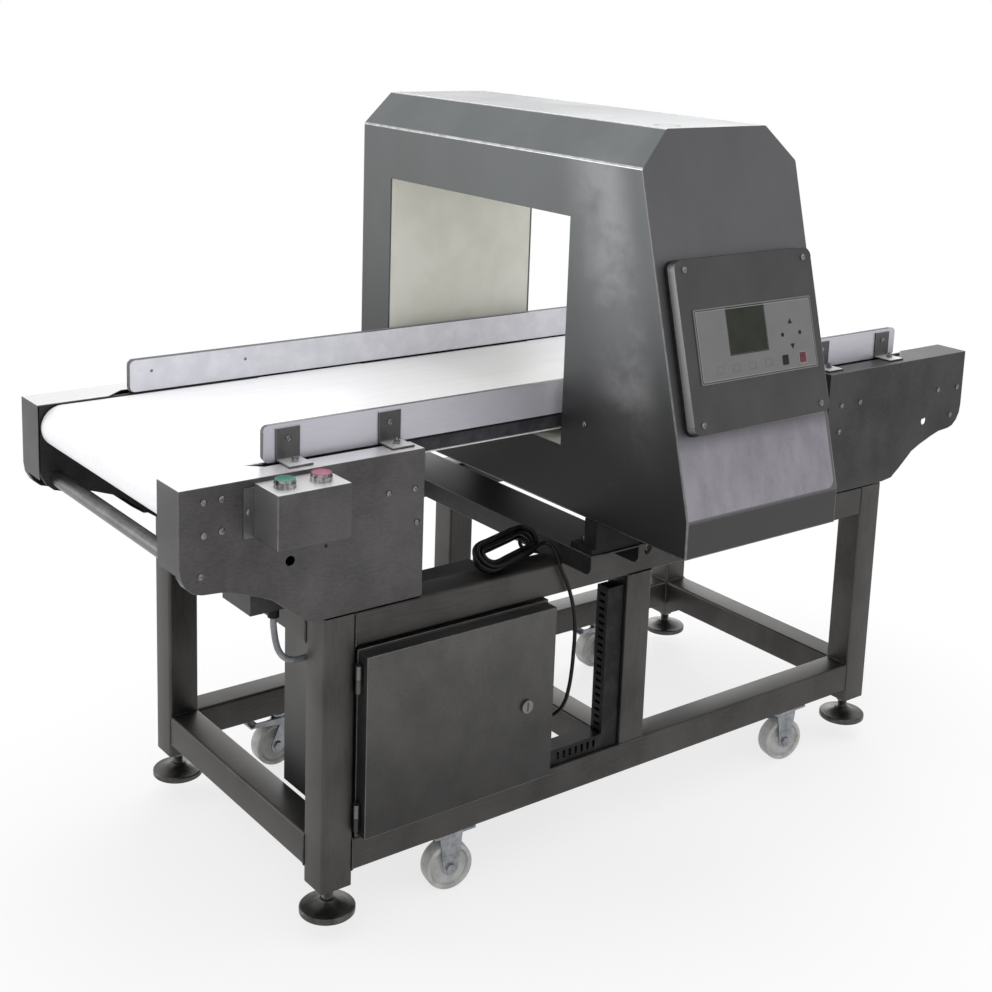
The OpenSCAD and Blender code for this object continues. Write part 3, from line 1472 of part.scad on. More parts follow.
// Least gap of the hank to itself, measured between pieces of its path that aren't neighbours
function nearest(p, a, b) = let (d = b - a, t = max(0, min(1, ((p - a) * d) / (d * d)))) norm(p - a - t * d);
hank_gap = min([for (i = [1:len(hank_points) - 2], j = [1:len(hank_points) - 2])
    if (j > i + 6) nearest(hank_points[i], hank_points[j], hank_points[j + 1])]) - cable_d;
echo(least_gap_of_the_hank = hank_gap);

module cable_hank() {
    color([0.07, 0.07, 0.07]) swept_tube(hank_points, cable_r, 6);
}

module head_cable() {
    color([0.07, 0.07, 0.07]) {
        swept_tube(concat(cabinet_route, [hank_end + hank_along * cable_d, hank_end]), cable_r, 8);
        swept_tube(concat(head_route, [hank_start + hank_along * cable_d, hank_start]), cable_r, 8);
    }
}

module motor_conduit() {
    color([0.55, 0.56, 0.57]) swept_tube(conduit_route, conduit_d / 2, 8);
}

module cable_glands() {
    color([0.2, 0.2, 0.2]) {
        bar_x(cabinet_gland[1], cabinet_gland[2], gland_r, cabinet_gland[0], cabinet_gland[0] + gland_length,
            small_fn);
        bar_x(conduit_gland[1], conduit_gland[2], gland_r, conduit_gland[0] - gland_length, conduit_gland[0],
            small_fn);
        bar_z(head_gland[0], head_gland[1], gland_r, head_gland[2] - gland_length, head_gland[2], small_fn);
        bar_z(motor_gland[0], motor_gland[1], gland_r, motor_gland[2] - gland_length, motor_gland[2], small_fn);
    }
}

// Moves what is drawn round the middle of the belt to the part's frame
module placed() {
    translate([0, belt_y, 0]) children();
}

placed() legs();
placed() rails();
placed() middle_posts();
placed() cross_channels();
placed() foot(-leg_x, -leg_y);  // foot_front_left
placed() foot(leg_x, -leg_y);  // foot_front_right
placed() foot(-leg_x, leg_y);  // foot_rear_left
placed() foot(leg_x, leg_y);  // foot_rear_right
placed() fixed_forks();
placed() wheel(-caster_left_x, -caster_y, fork_yaw);  // wheel_front_left
placed() wheel(caster_right_x, -caster_y, fork_yaw);  // wheel_front_right
placed() swivel_plates();
placed() swivel_fork(-caster_left_x);  // fork_rear_left
placed() swivel_fork(caster_right_x);  // fork_rear_right
placed() wheel(-caster_left_x - caster_trail, caster_y, 0);  // wheel_rear_left
placed() wheel(caster_right_x - caster_trail, caster_y, 0);  // wheel_rear_right
placed() brake_pedal(-caster_left_x);  // brake_pedal_left
placed() brake_pedal(caster_right_x);  // brake_pedal_right
placed() side_plates();
placed() infeed_housings();
placed() outfeed_housings();
placed() slider_bed();
placed() belt();
placed() drive_roller();
placed() tail_roller();
placed() return_roller_infeed();
placed() return_roller_outfeed();
placed() roller_bearings();
placed() tie_bars();
placed() gear_motor();
placed() motor_pulley();
placed() roller_pulley();
placed() drive_belt();
placed() guide_rails();
placed() guide_strips();
placed() guide_brackets();
placed() fasteners();
placed() switch_box();
placed() start_button();
placed() stop_button();
placed() switch_bodies();
placed() head_shell();
placed() tunnel_liner();
placed() search_coils();
placed() control_board();
placed() head_mounts();
placed() operator_cover();
placed() cover_gasket();
placed() keypad_plate();
placed() display();
placed() cabinet_box();
placed() cabinet_door();
placed() door_hinges();
placed() door_lock();
placed() power_unit();
placed() wire_duct();
placed() cable_glands();
placed() head_cable();
placed() cable_hank();
placed() motor_conduit();
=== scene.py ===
import json
import math

import bpy
from mathutils import Matrix, Vector


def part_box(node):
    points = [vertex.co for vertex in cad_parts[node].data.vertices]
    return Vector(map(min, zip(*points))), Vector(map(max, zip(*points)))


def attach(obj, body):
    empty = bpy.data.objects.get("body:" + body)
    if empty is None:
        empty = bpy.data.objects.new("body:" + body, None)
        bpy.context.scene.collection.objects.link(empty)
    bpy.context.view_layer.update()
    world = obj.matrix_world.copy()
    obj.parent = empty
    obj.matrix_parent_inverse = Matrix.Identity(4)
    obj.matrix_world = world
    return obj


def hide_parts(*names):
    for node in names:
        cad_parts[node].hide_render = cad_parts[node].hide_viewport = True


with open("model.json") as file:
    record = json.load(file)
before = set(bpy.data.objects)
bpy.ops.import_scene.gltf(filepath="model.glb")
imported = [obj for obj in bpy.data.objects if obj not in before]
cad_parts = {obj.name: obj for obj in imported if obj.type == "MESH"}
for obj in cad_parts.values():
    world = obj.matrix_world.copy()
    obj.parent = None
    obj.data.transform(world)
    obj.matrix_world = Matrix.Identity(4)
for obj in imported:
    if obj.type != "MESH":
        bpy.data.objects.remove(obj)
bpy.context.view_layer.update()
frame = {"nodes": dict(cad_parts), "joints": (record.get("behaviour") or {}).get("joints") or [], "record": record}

# Sizes are in millimetres as on a workshop drawing, and at() turns a place on it into the frame's metres
MM = 0.001
BELT_Y = 95


def at(x, y, z):
    """A place on the drawing, whose y starts at the belt's middle line, as a place in the frame."""
    return Vector((x * MM, (y + BELT_Y) * MM, z * MM))


# Camera at the photograph's place
CAMERA_PLACE = at(-1584.5, -1946.75, 1316.28)
CAMERA_YAW = math.radians(38.0519)
CAMERA_PITCH = math.radians(11.5753)
CAMERA_ROLL = math.radians(2.1202)
SENSOR_WIDTH = 36
LENS_LENGTH = 56.64
LENS_SHIFT_ACROSS = -0.0201
LENS_SHIFT_UP = -0.189


def make_camera():
    """A camera that looks along its yaw and pitch, turned by its roll, with a shifted lens."""
    forward = Vector((math.sin(CAMERA_YAW) * math.cos(CAMERA_PITCH),
                      math.cos(CAMERA_YAW) * math.cos(CAMERA_PITCH), -math.sin(CAMERA_PITCH)))
    level = Vector((math.cos(CAMERA_YAW), -math.sin(CAMERA_YAW), 0))
    above = level.cross(forward)
    right = math.cos(CAMERA_ROLL) * level + math.sin(CAMERA_ROLL) * above
    up = math.cos(CAMERA_ROLL) * above - math.sin(CAMERA_ROLL) * level
    lens = bpy.data.cameras.new("camera")
    lens.sensor_width = SENSOR_WIDTH
    lens.lens = LENS_LENGTH
    lens.shift_x = LENS_SHIFT_ACROSS
    lens.shift_y = LENS_SHIFT_UP
    camera = bpy.data.objects.new("camera", lens)
    bpy.context.scene.collection.objects.link(camera)
    turn = Matrix((right, up, -forward)).transposed().to_4x4()
    camera.matrix_world = Matrix.Translation(CAMERA_PLACE) @ turn
    bpy.context.scene.camera = camera


# Cables: the routes' points are listed one by one, and the hank's turns follow a formula
CABLE_D = 6
CONDUIT_D = 9
CABINET_ROUTE = [(-170, -243, 224), (-164, -243, 224), (-156, -246, 227), (-149, -254, 236),
                 (-145, -263, 252), (-142, -268, 275), (-139, -270, 305), (-137, -270, 335),
                 (-136, -270, 365), (-138, -270, 390), (-143, -270, 414), (-150, -270, 436),
                 (-157, -270, 453), (-164, -270, 466), (-169, -269, 477), (-171, -266, 487),
                 (-170, -259, 496), (-170, -249, 503), (-172, -241, 507), (-178, -238, 508)]
HEAD_ROUTE = [(-112, -400, 547), (-112, -400, 541), (-110, -396, 532), (-104, -386, 524),
              (-92, -370, 520), (-70, -350, 516), (-48, -330, 510), (-36, -305, 502),
              (-34, -280, 493), (-36, -255, 489), (-38, -236, 489), (-42, -218, 488),
              (-48, -208, 485), (-56, -203, 479), (-66, -200, 471), (-82, -196, 466),
              (-104, -190, 465), (-126, -184, 466), (-144, -180, 469), (-158, -178, 474),
              (-170, -178, 480), (-177, -180, 489), (-180, -184, 499), (-183, -189, 508),
              (-188, -193, 513)]
CONDUIT_ROUTE = [(-607, -190, 471), (-607, -190, 462), (-606, -191, 448), (-604, -192, 434),
                 (-600, -193, 421), (-593, -194, 411), (-583, -195, 405), (-571, -195, 403),
                 (-559, -195, 403), (-547, -195, 404), (-538, -195, 404), (-531, -195, 404)]
HANK_MID = Vector((-240, -226, 507))
HANK_ALONG = Vector((1, 0.205, 0.11)).normalized()
HANK_LEAN = Vector((0, 0.8, 0.6))
HANK_ACROSS = (HANK_LEAN - HANK_ALONG * HANK_ALONG.dot(HANK_LEAN)).normalized()
HANK_UP = HANK_ALONG.cross(HANK_ACROSS)
HANK_RUN = 78
HANK_INNER_R = 12
HANK_PITCH = CABLE_D * 1.13
HANK_LAYERS = 4
LAYER_TURNS = 2
ROUND_STEPS = 8
RUN_STEPS = 4
LOOP_STEPS = 2 * (ROUND_STEPS + RUN_STEPS)
CLIMB_STEPS = 4

# Steps along the hank at which the cable's two runs leave it
HANK_FIRST = 20
HANK_LAST = 180


def loop_place(step, r):
    """A place on one loop of the hank: a half round, a run, a half round and a run back."""
    half = HANK_RUN / 2
    second_half, n = divmod(step, ROUND_STEPS + RUN_STEPS)
    if n < ROUND_STEPS:
        turn = math.pi * n / ROUND_STEPS
        run, across = -half - r * math.sin(turn), r * math.cos(turn)
    else:
        run, across = -half + HANK_RUN * (n - ROUND_STEPS) / RUN_STEPS, -r
    return (-run, -across) if second_half else (run, across)


def hank_point(step):
    """A place along the hank, whose layers wind outwards and inwards by turns, each over the last one."""
    per_layer = LAYER_TURNS * LOOP_STEPS
    layer, n = divmod(step, per_layer)
    reach = HANK_PITCH * (LAYER_TURNS - CLIMB_STEPS / LOOP_STEPS)
    share = min(1, n / (per_layer - CLIMB_STEPS))
    r = HANK_INNER_R + reach * (1 - share if layer % 2 == 0 else share)
    climb = max(0, n - (per_layer - CLIMB_STEPS)) / CLIMB_STEPS
    run, across = loop_place(step % LOOP_STEPS, r)
    rise = (layer + climb - (HANK_LAYERS - 1) / 2) * HANK_PITCH
    return HANK_MID + HANK_ALONG * run + HANK_ACROSS * across + HANK_UP * rise


def cable_curve(name, points, diameter):
    """A smooth curve through the points, with the cable's round section."""
    curve = bpy.data.curves.new(name, "CURVE")
    curve.dimensions = "3D"
    curve.resolution_u = 4
    curve.bevel_depth = diameter / 2 * MM
    curve.bevel_resolution = 5
    curve.use_fill_caps = True
    spline = curve.splines.new("BEZIER")
    spline.bezier_points.add(len(points) - 1)
    for knot, point in zip(spline.bezier_points, points):
        knot.co = at(*point)
        knot.handle_left_type = "AUTO"
        knot.handle_right_type = "AUTO"
    cable = bpy.data.objects.new(name, curve)
    bpy.context.scene.collection.objects.link(cable)
    return cable


make_camera()
turns = [hank_point(step) for step in range(HANK_FIRST, HANK_LAST + 1)]
cabinet_side = [Vector(p) for p in CABINET_ROUTE] + [turns[-1] + HANK_ALONG * CABLE_D]
head_side = [Vector(p) for p in HEAD_ROUTE] + [turns[0] + HANK_ALONG * CABLE_D]
whole_cable = cabinet_side + turns[::-1] + head_side[::-1]
head_cable = cable_curve("head_signal_cable", whole_cable, CABLE_D)
motor_hose = cable_curve("motor_cable_hose", CONDUIT_ROUTE, CONDUIT_D)


# Finishes
class Wire:
    """One output of a node; sums and products of wires and numbers add Math nodes."""

    def __init__(self, paint, socket):
        self.paint = paint
        self.socket = socket

    def maths(self, operation, first, second):
        return self.paint.add("ShaderNodeMath", {"operation": operation}, {0: first, 1: second})

    def __add__(self, other):
        return self.maths("ADD", self, other)

    def __radd__(self, other):
        return self.maths("ADD", other, self)

    def __sub__(self, other):
        return self.maths("SUBTRACT", self, other)

    def __rsub__(self, other):
        return self.maths("SUBTRACT", other, self)

    def __mul__(self, other):
        return self.maths("MULTIPLY", self, other)

    def __rmul__(self, other):
        return self.maths("MULTIPLY", other, self)

    def at_least(self, low):
        return self.maths("MAXIMUM", self, low)

    def lifted(self, low, high):
        """This wire's values from low to high, spread over 0 to 1 with soft ends."""
        return self.paint.add("ShaderNodeMapRange", {"interpolation_type": "SMOOTHSTEP"},
                              {0: self, 1: low, 2: high})


class Paint:
    """One finish on a Principled shader, reading the piece's own millimetres."""

    def __init__(self, name, roughness, metallic=0.0):
        self.name = name
        self.material = bpy.data.materials.new(name)
        self.material.use_nodes = True
        self.tree = self.material.node_tree
        self.shader = self.tree.nodes["Principled BSDF"]
        self.shader.inputs["Roughness"].default_value = roughness
        self.shader.inputs["Metallic"].default_value = metallic
        metres = self.add("ShaderNodeTexCoord", {}, {}, "Object")
        self.place = self.add("ShaderNodeMapping", {}, {0: metres, 3: (1 / MM,) * 3})

    def add(self, kind, settings, inputs, output=0):
        """Any node: its settings first, then the values or wires of its inputs."""
        node = self.tree.nodes.new(kind)
        for name, value in settings.items():
            setattr(node, name, value)
        for key, value in inputs.items():
            if isinstance(value, Wire):
                self.tree.links.new(value.socket, node.inputs[key])
            else:
                node.inputs[key].default_value = value
        return Wire(self, node.outputs[output])

    def feed(self, socket, wire):
        self.tree.links.new(wire.socket, self.shader.inputs[socket])

    def noise(self, size, stretch, detail, rough, shift=0):
        """Noise with grains about size millimetres across, longer where stretch is above 1."""
        scale = tuple(1 / (size * s) for s in stretch)
        spot = self.add("ShaderNodeMapping", {}, {0: self.place, 1: (shift,) * 3, 3: scale})
        return self.add("ShaderNodeTexNoise", {}, {"Vector": spot, "Scale": 1, "Detail": detail,
                                                   "Roughness": rough})

    def cells(self, size):
        """How far a place is from the nearest of many scattered points, size millimetres apart."""
        spot = self.add("ShaderNodeMapping", {}, {0: self.place, 3: (1 / size,) * 3})
        return self.add("ShaderNodeTexVoronoi", {}, {"Vector": spot, "Scale": 1})

    def parts(self, wire):
        """The three numbers of a vector."""
        node = self.add("ShaderNodeSeparateXYZ", {}, {0: wire}).socket.node
        return [Wire(self, socket) for socket in node.outputs]

    def axes(self):
        """The place's x, y and z in millimetres."""
        return self.parts(self.place)

    def facing(self):
        """How far the surface faces along the object's own x, y and z, from -1 to 1."""
        return self.parts(self.add("ShaderNodeTexCoord", {}, {}, "Normal"))

    def mixed(self, factor, first, second):
        """A colour between two colours or colour wires."""
        first, second = (c if isinstance(c, Wire) else (*c, 1) for c in (first, second))
        return self.add("ShaderNodeMix", {"data_type": "RGBA"}, {0: factor, 6: first, 7: second}, 2)

    def relief(self, height, depth, strength):
        """A bump of depth millimetres where height goes from 0 to 1."""
        inputs = {"Strength": strength, "Distance": depth * MM, "Height": height}
        return self.add("ShaderNodeBump", {}, inputs)


# Painted light for top faces lit from above, and painted shade for the low parts of a sheet
PAINTED_LIT_TOP = (0.8, 0.8, 0.81)
SHADED = (0.015, 0.014, 0.014)


def steel(name, dark, light, roughness, grain=(1, 1, 1), grain_size=1.2, cloud=140, depth=0.012,
          metallic=0.9, top=None, left=None, painted_shade_below=None):
    """Ground stainless sheet: fine grain and cloudy handling marks; its top and left side may take their own
    colours, painted light or shade for how light falls on them, and painted shade (low, high, share) may darken it
    downwards."""
    paint = Paint(name, roughness, metallic)
    lines = paint.noise(grain_size, grain, 2, 0.6)
    clouds = paint.noise(cloud, (1, 1, 1), 4, 0.55, 3)
    smears = paint.noise(cloud / 3, (1, 1, 2.5), 3, 0.6, 11)
    tone = (clouds * 0.5 + smears * 0.2 + lines * 0.3).lifted(0.32, 0.68)
    colour = paint.mixed(tone, dark, light)
    # Painted shade: the sheet darkens towards the bottom
    if painted_shade_below:
        low, high, share = painted_shade_below
        colour = paint.mixed((1 - paint.axes()[2].lifted(low, high)) * share, colour, SHADED)
    # Painted light or shade: the left faces take their own colour
    if left:
        colour = paint.mixed((0 - paint.facing()[0]).lifted(0.6, 0.95), colour, left)
    # Painted light or shade: the top faces take their own colour
    if top:
        colour = paint.mixed(paint.facing()[2].lifted(0.7, 0.95), colour, top)
    paint.feed("Base Color", colour)
    paint.feed("Roughness", roughness - 0.08 + tone * 0.1 + lines * 0.08)
    paint.feed("Normal", paint.relief(lines, depth, 0.6))
    return paint


# The head's sizes, and the slope of its front in degrees
HEAD_HALF = 152
HEAD_FRONT = 511
HEAD_TOP = 1135
SKIRT_TOP = 615
HEAD_SLOPE = 15.2
HEAD_LEAN = math.tan(math.radians(HEAD_SLOPE))
ROOF_PLUGS = ((-60, -330), (-34, 197))

# The paler sheet under the cover: its top, the middle of its round corner, and where that corner fades out
LOW_SHEET_TOP = 735
LOW_SHEET_FADE = 35
LOW_SHEET_CORNER = (132, 630)
CORNER_INNER_R = 12
CORNER_OUTER_R = 14.663


def head_skin():
    """Brushed skin of the detector's head: painted shade low down on its sides and skirt, paler on the sheet under
    the cover, a painted highlight band beside its front edges, and painted light on its roof and chamfers."""
    paint = Paint("head_steel", 0.42, 0.85)
    x, y, z = paint.axes()
    to_back, up = paint.facing()[1:]
    lines = paint.noise(1.1, (1, 1, 34), 2, 0.6)
    clouds = paint.noise(170, (1, 1, 1.6), 4, 0.55, 3)
    smears = paint.noise(42, (1, 1, 3), 4, 0.6, 11)
    spots = paint.noise(20, (1, 1, 1), 5, 0.7, 23)
    tone = (clouds * 0.5 + smears * 0.2 + lines * 0.3).lifted(0.3, 0.7)
    # Painted shade: the sides darken towards the bottom
    height = z.lifted(560, 980)
    side = paint.mixed(height, (0.05, 0.048, 0.048), (0.126, 0.133, 0.134))
    # Painted highlight: a broken bright band on the sides beside the front edges
    from_edge = y + (HEAD_FRONT - BELT_Y) - (z - SKIRT_TOP) * HEAD_LEAN
    painted_highlight = from_edge.lifted(15, 80) * (1 - from_edge.lifted(85, 190)) * height.lifted(0.05, 0.6)
    breaks = paint.noise(120, (1, 1.4, 1), 4, 0.65, 17).lifted(0.38, 0.6)
    side = paint.mixed(painted_highlight * (0.2 + breaks * 0.5), side, (0.3, 0.3, 0.305))
    beyond = (x - LOW_SHEET_CORNER[0]).at_least(0)
    below = (LOW_SHEET_CORNER[1] - z).at_least(0)
    past_corner = (beyond * beyond + below * below).lifted(CORNER_INNER_R ** 2, CORNER_OUTER_R ** 2)
    low_sheet = (1 - z.lifted(LOW_SHEET_TOP - LOW_SHEET_FADE, LOW_SHEET_TOP)) * (1 - past_corner)
    streaks = paint.noise(26, (1, 1, 3.5), 4, 0.6, 31).lifted(0.3, 0.7)
    streaked = paint.mixed(streaks, (0.275, 0.26, 0.3), (0.33, 0.315, 0.355))
    front = paint.mixed(low_sheet, (0.13, 0.13, 0.137), streaked)
    # Painted shade: the skirt under the fold is darker
    front = paint.mixed(1 - z.lifted(SKIRT_TOP - 5, SKIRT_TOP), front, (0.068, 0.066, 0.066))
    # The front faces and the sides take their own colours, set apart as lit and shaded faces would be
    colour = paint.mixed((0 - to_back).lifted(0.5, 0.8), side, front)
    # Painted light: the roof is brighter towards the front and darker to the back
    roof = paint.mixed(y.lifted(-420, 250), (0.34, 0.35, 0.36), (0.1, 0.105, 0.11))
    for plug_x, plug_y in ROOF_PLUGS:
        away = paint.add("ShaderNodeVectorMath", {"operation": "DISTANCE"},
                         {0: paint.place, 1: (plug_x, plug_y + BELT_Y, HEAD_TOP)}, 1)
        groove = away.lifted(14, 16) * (1 - away.lifted(19, 21))
        roof = paint.mixed(groove, roof, (0.05, 0.05, 0.05))
    # Painted reflection: upward tilted faces take a pale blue-grey, and the top faces the roof's painted light
    colour = paint.mixed(up.lifted(0.4, 0.72) * 0.5, colour, (0.22, 0.24, 0.245))
    colour = paint.mixed(up.lifted(0.75, 0.97), colour, roof)
    colour = paint.mixed(spots.lifted(0.58, 0.8) * low_sheet * 0.5, colour, (0.12, 0.11, 0.115))
    colour = paint.mixed((1 - tone) * 0.35, colour, (0.05, 0.049, 0.05))
    paint.feed("Base Color", colour)
    paint.feed("Roughness", 0.34 + tone * 0.1 + lines * 0.08)
    paint.feed("Normal", paint.relief(lines, 0.012, 0.6))
    return paint


def painted_edge_light(name, colour, roughness):
    """Painted light along a rounded fold or edge, brighter or darker than the faces beside it, in patches."""
    paint = Paint(name, roughness, 0.95)
    edge_patches = paint.noise(14, (1, 1, 1), 3, 0.6).lifted(0.35, 0.65)
    paint.feed("Base Color", paint.mixed(edge_patches, tuple(c * 0.72 for c in colour), colour))
    paint.feed("Roughness", roughness + edge_patches * 0.12)
    return paint


def moulded(name, dark, light, roughness, speck=0.6, depth=0.03, metallic=0.0, shine=0.5, rim=None):
    """Moulded plastic or rubber with a fine eroded surface, slight handling marks and, on an upright
    board, a rim painted darker as shade."""
    paint = Paint(name, roughness, metallic)
    paint.shader.inputs["Specular IOR Level"].default_value = shine
    grains = paint.noise(speck, (1, 1, 1), 3, 0.6)
    marks = paint.noise(speck * 30, (1, 1, 1), 4, 0.6, 7)
    colour = paint.mixed(marks.lifted(0.35, 0.7), dark, light)
    # Painted shade on the faces that don't face along y
    if rim:
        across = paint.facing()[1]
        colour = paint.mixed((1 - across * across).lifted(0.3, 0.7), colour, rim)
    paint.feed("Base Color", colour)
    paint.feed("Roughness", roughness - 0.06 + marks * 0.14)
    paint.feed("Normal", paint.relief(grains, depth, 0.5))
    return paint


def belt_fabric():
    """White coated conveyor fabric: a fine weave under a smooth top, with faint run marks."""
    paint = Paint("white_belt", 0.5)
    weft, warp = (paint.add("ShaderNodeTexWave", {"wave_type": "BANDS", "bands_direction": way},
                            {"Vector": paint.place, "Scale": 0.35, "Distortion": 0.4}) for way in "XY")
    weave = weft * 0.5 + warp * 0.5
    runs = paint.noise(9, (40, 1, 1), 3, 0.6, 5).lifted(0.4, 0.75)
    marks = paint.noise(60, (2, 1, 1), 4, 0.6, 9).lifted(0.45, 0.8)
    from_middle = paint.add("ShaderNodeMath", {"operation": "ABSOLUTE"}, {0: paint.axes()[1] - BELT_Y})
    colour = paint.mixed(runs * 0.35 + marks * 0.25, (0.86, 0.86, 0.88), (0.76, 0.75, 0.76))
    colour = paint.mixed(from_middle.lifted(188, 200) * 0.5, colour, (0.66, 0.65, 0.66))
    paint.feed("Base Color", colour)
    paint.feed("Roughness", 0.42 + marks * 0.12 + weave * 0.05)
    paint.feed("Normal", paint.relief(weave, 0.05, 0.6))
    return paint


def cable_jacket(name, dark, light, shine):
    """Cable jacket, with the shine of drawn plastic and a little dust."""
    paint = Paint(name, 0.42)
    paint.shader.inputs["Specular IOR Level"].default_value = shine
    dust = paint.noise(12, (1, 1, 1), 4, 0.6).lifted(0.4, 0.75)
    grains = paint.noise(0.8, (1, 1, 1), 2, 0.6, 4)
    paint.feed("Base Color", paint.mixed(dust, dark, light))
    paint.feed("Roughness", 0.36 + dust * 0.2)
    paint.feed("Normal", paint.relief(grains, 0.03, 0.5))
    return paint


def liner_glass():
    """Cream glass-fibre liner of the passage, with faint mottling."""
    paint = Paint("cream_liner", 0.55)
    mottle = paint.noise(60, (1, 1, 1), 4, 0.5).lifted(0.35, 0.7)
    strands = paint.noise(3, (1, 8, 1), 3, 0.7, 4)
    paint.feed("Base Color", paint.mixed(mottle, (0.64, 0.64, 0.57), (0.7, 0.7, 0.64)))
    paint.feed("Roughness", 0.45 + mottle * 0.15)
    paint.feed("Normal", paint.relief(strands, 0.04, 0.5))
    return paint


def keypad_film():
    """Silver printed polyester film with a fine texture and slight marks."""
    paint = Paint("keypad_film", 0.5, 0.2)
    grains = paint.noise(0.5, (1, 1, 1), 2, 0.7)
    marks = paint.noise(30, (1, 1, 1), 4, 0.6, 3).lifted(0.35, 0.7)
    paint.feed("Base Color", paint.mixed(marks, (0.138, 0.138, 0.14), (0.154, 0.154, 0.158)))
    paint.feed("Roughness", 0.45 + marks * 0.12)
    paint.feed("Normal", paint.relief(grains, 0.02, 0.6))
    return paint


def display_glass():
    """Unlit display: a dark olive panel with faint dots."""
    paint = Paint("display_window", 0.3)
    paint.shader.inputs["Specular IOR Level"].default_value = 0.12
    dots = paint.cells(0.9).lifted(0.1, 0.5)
    haze = paint.noise(25, (1, 1, 1), 3, 0.5).lifted(0.3, 0.7)
    colour = paint.mixed(haze, (0.016, 0.018, 0.013), (0.024, 0.027, 0.02))
    paint.feed("Base Color", paint.mixed(dots * 0.3, colour, (0.034, 0.038, 0.03)))
    paint.feed("Roughness", 0.3 + haze * 0.1)
    return paint


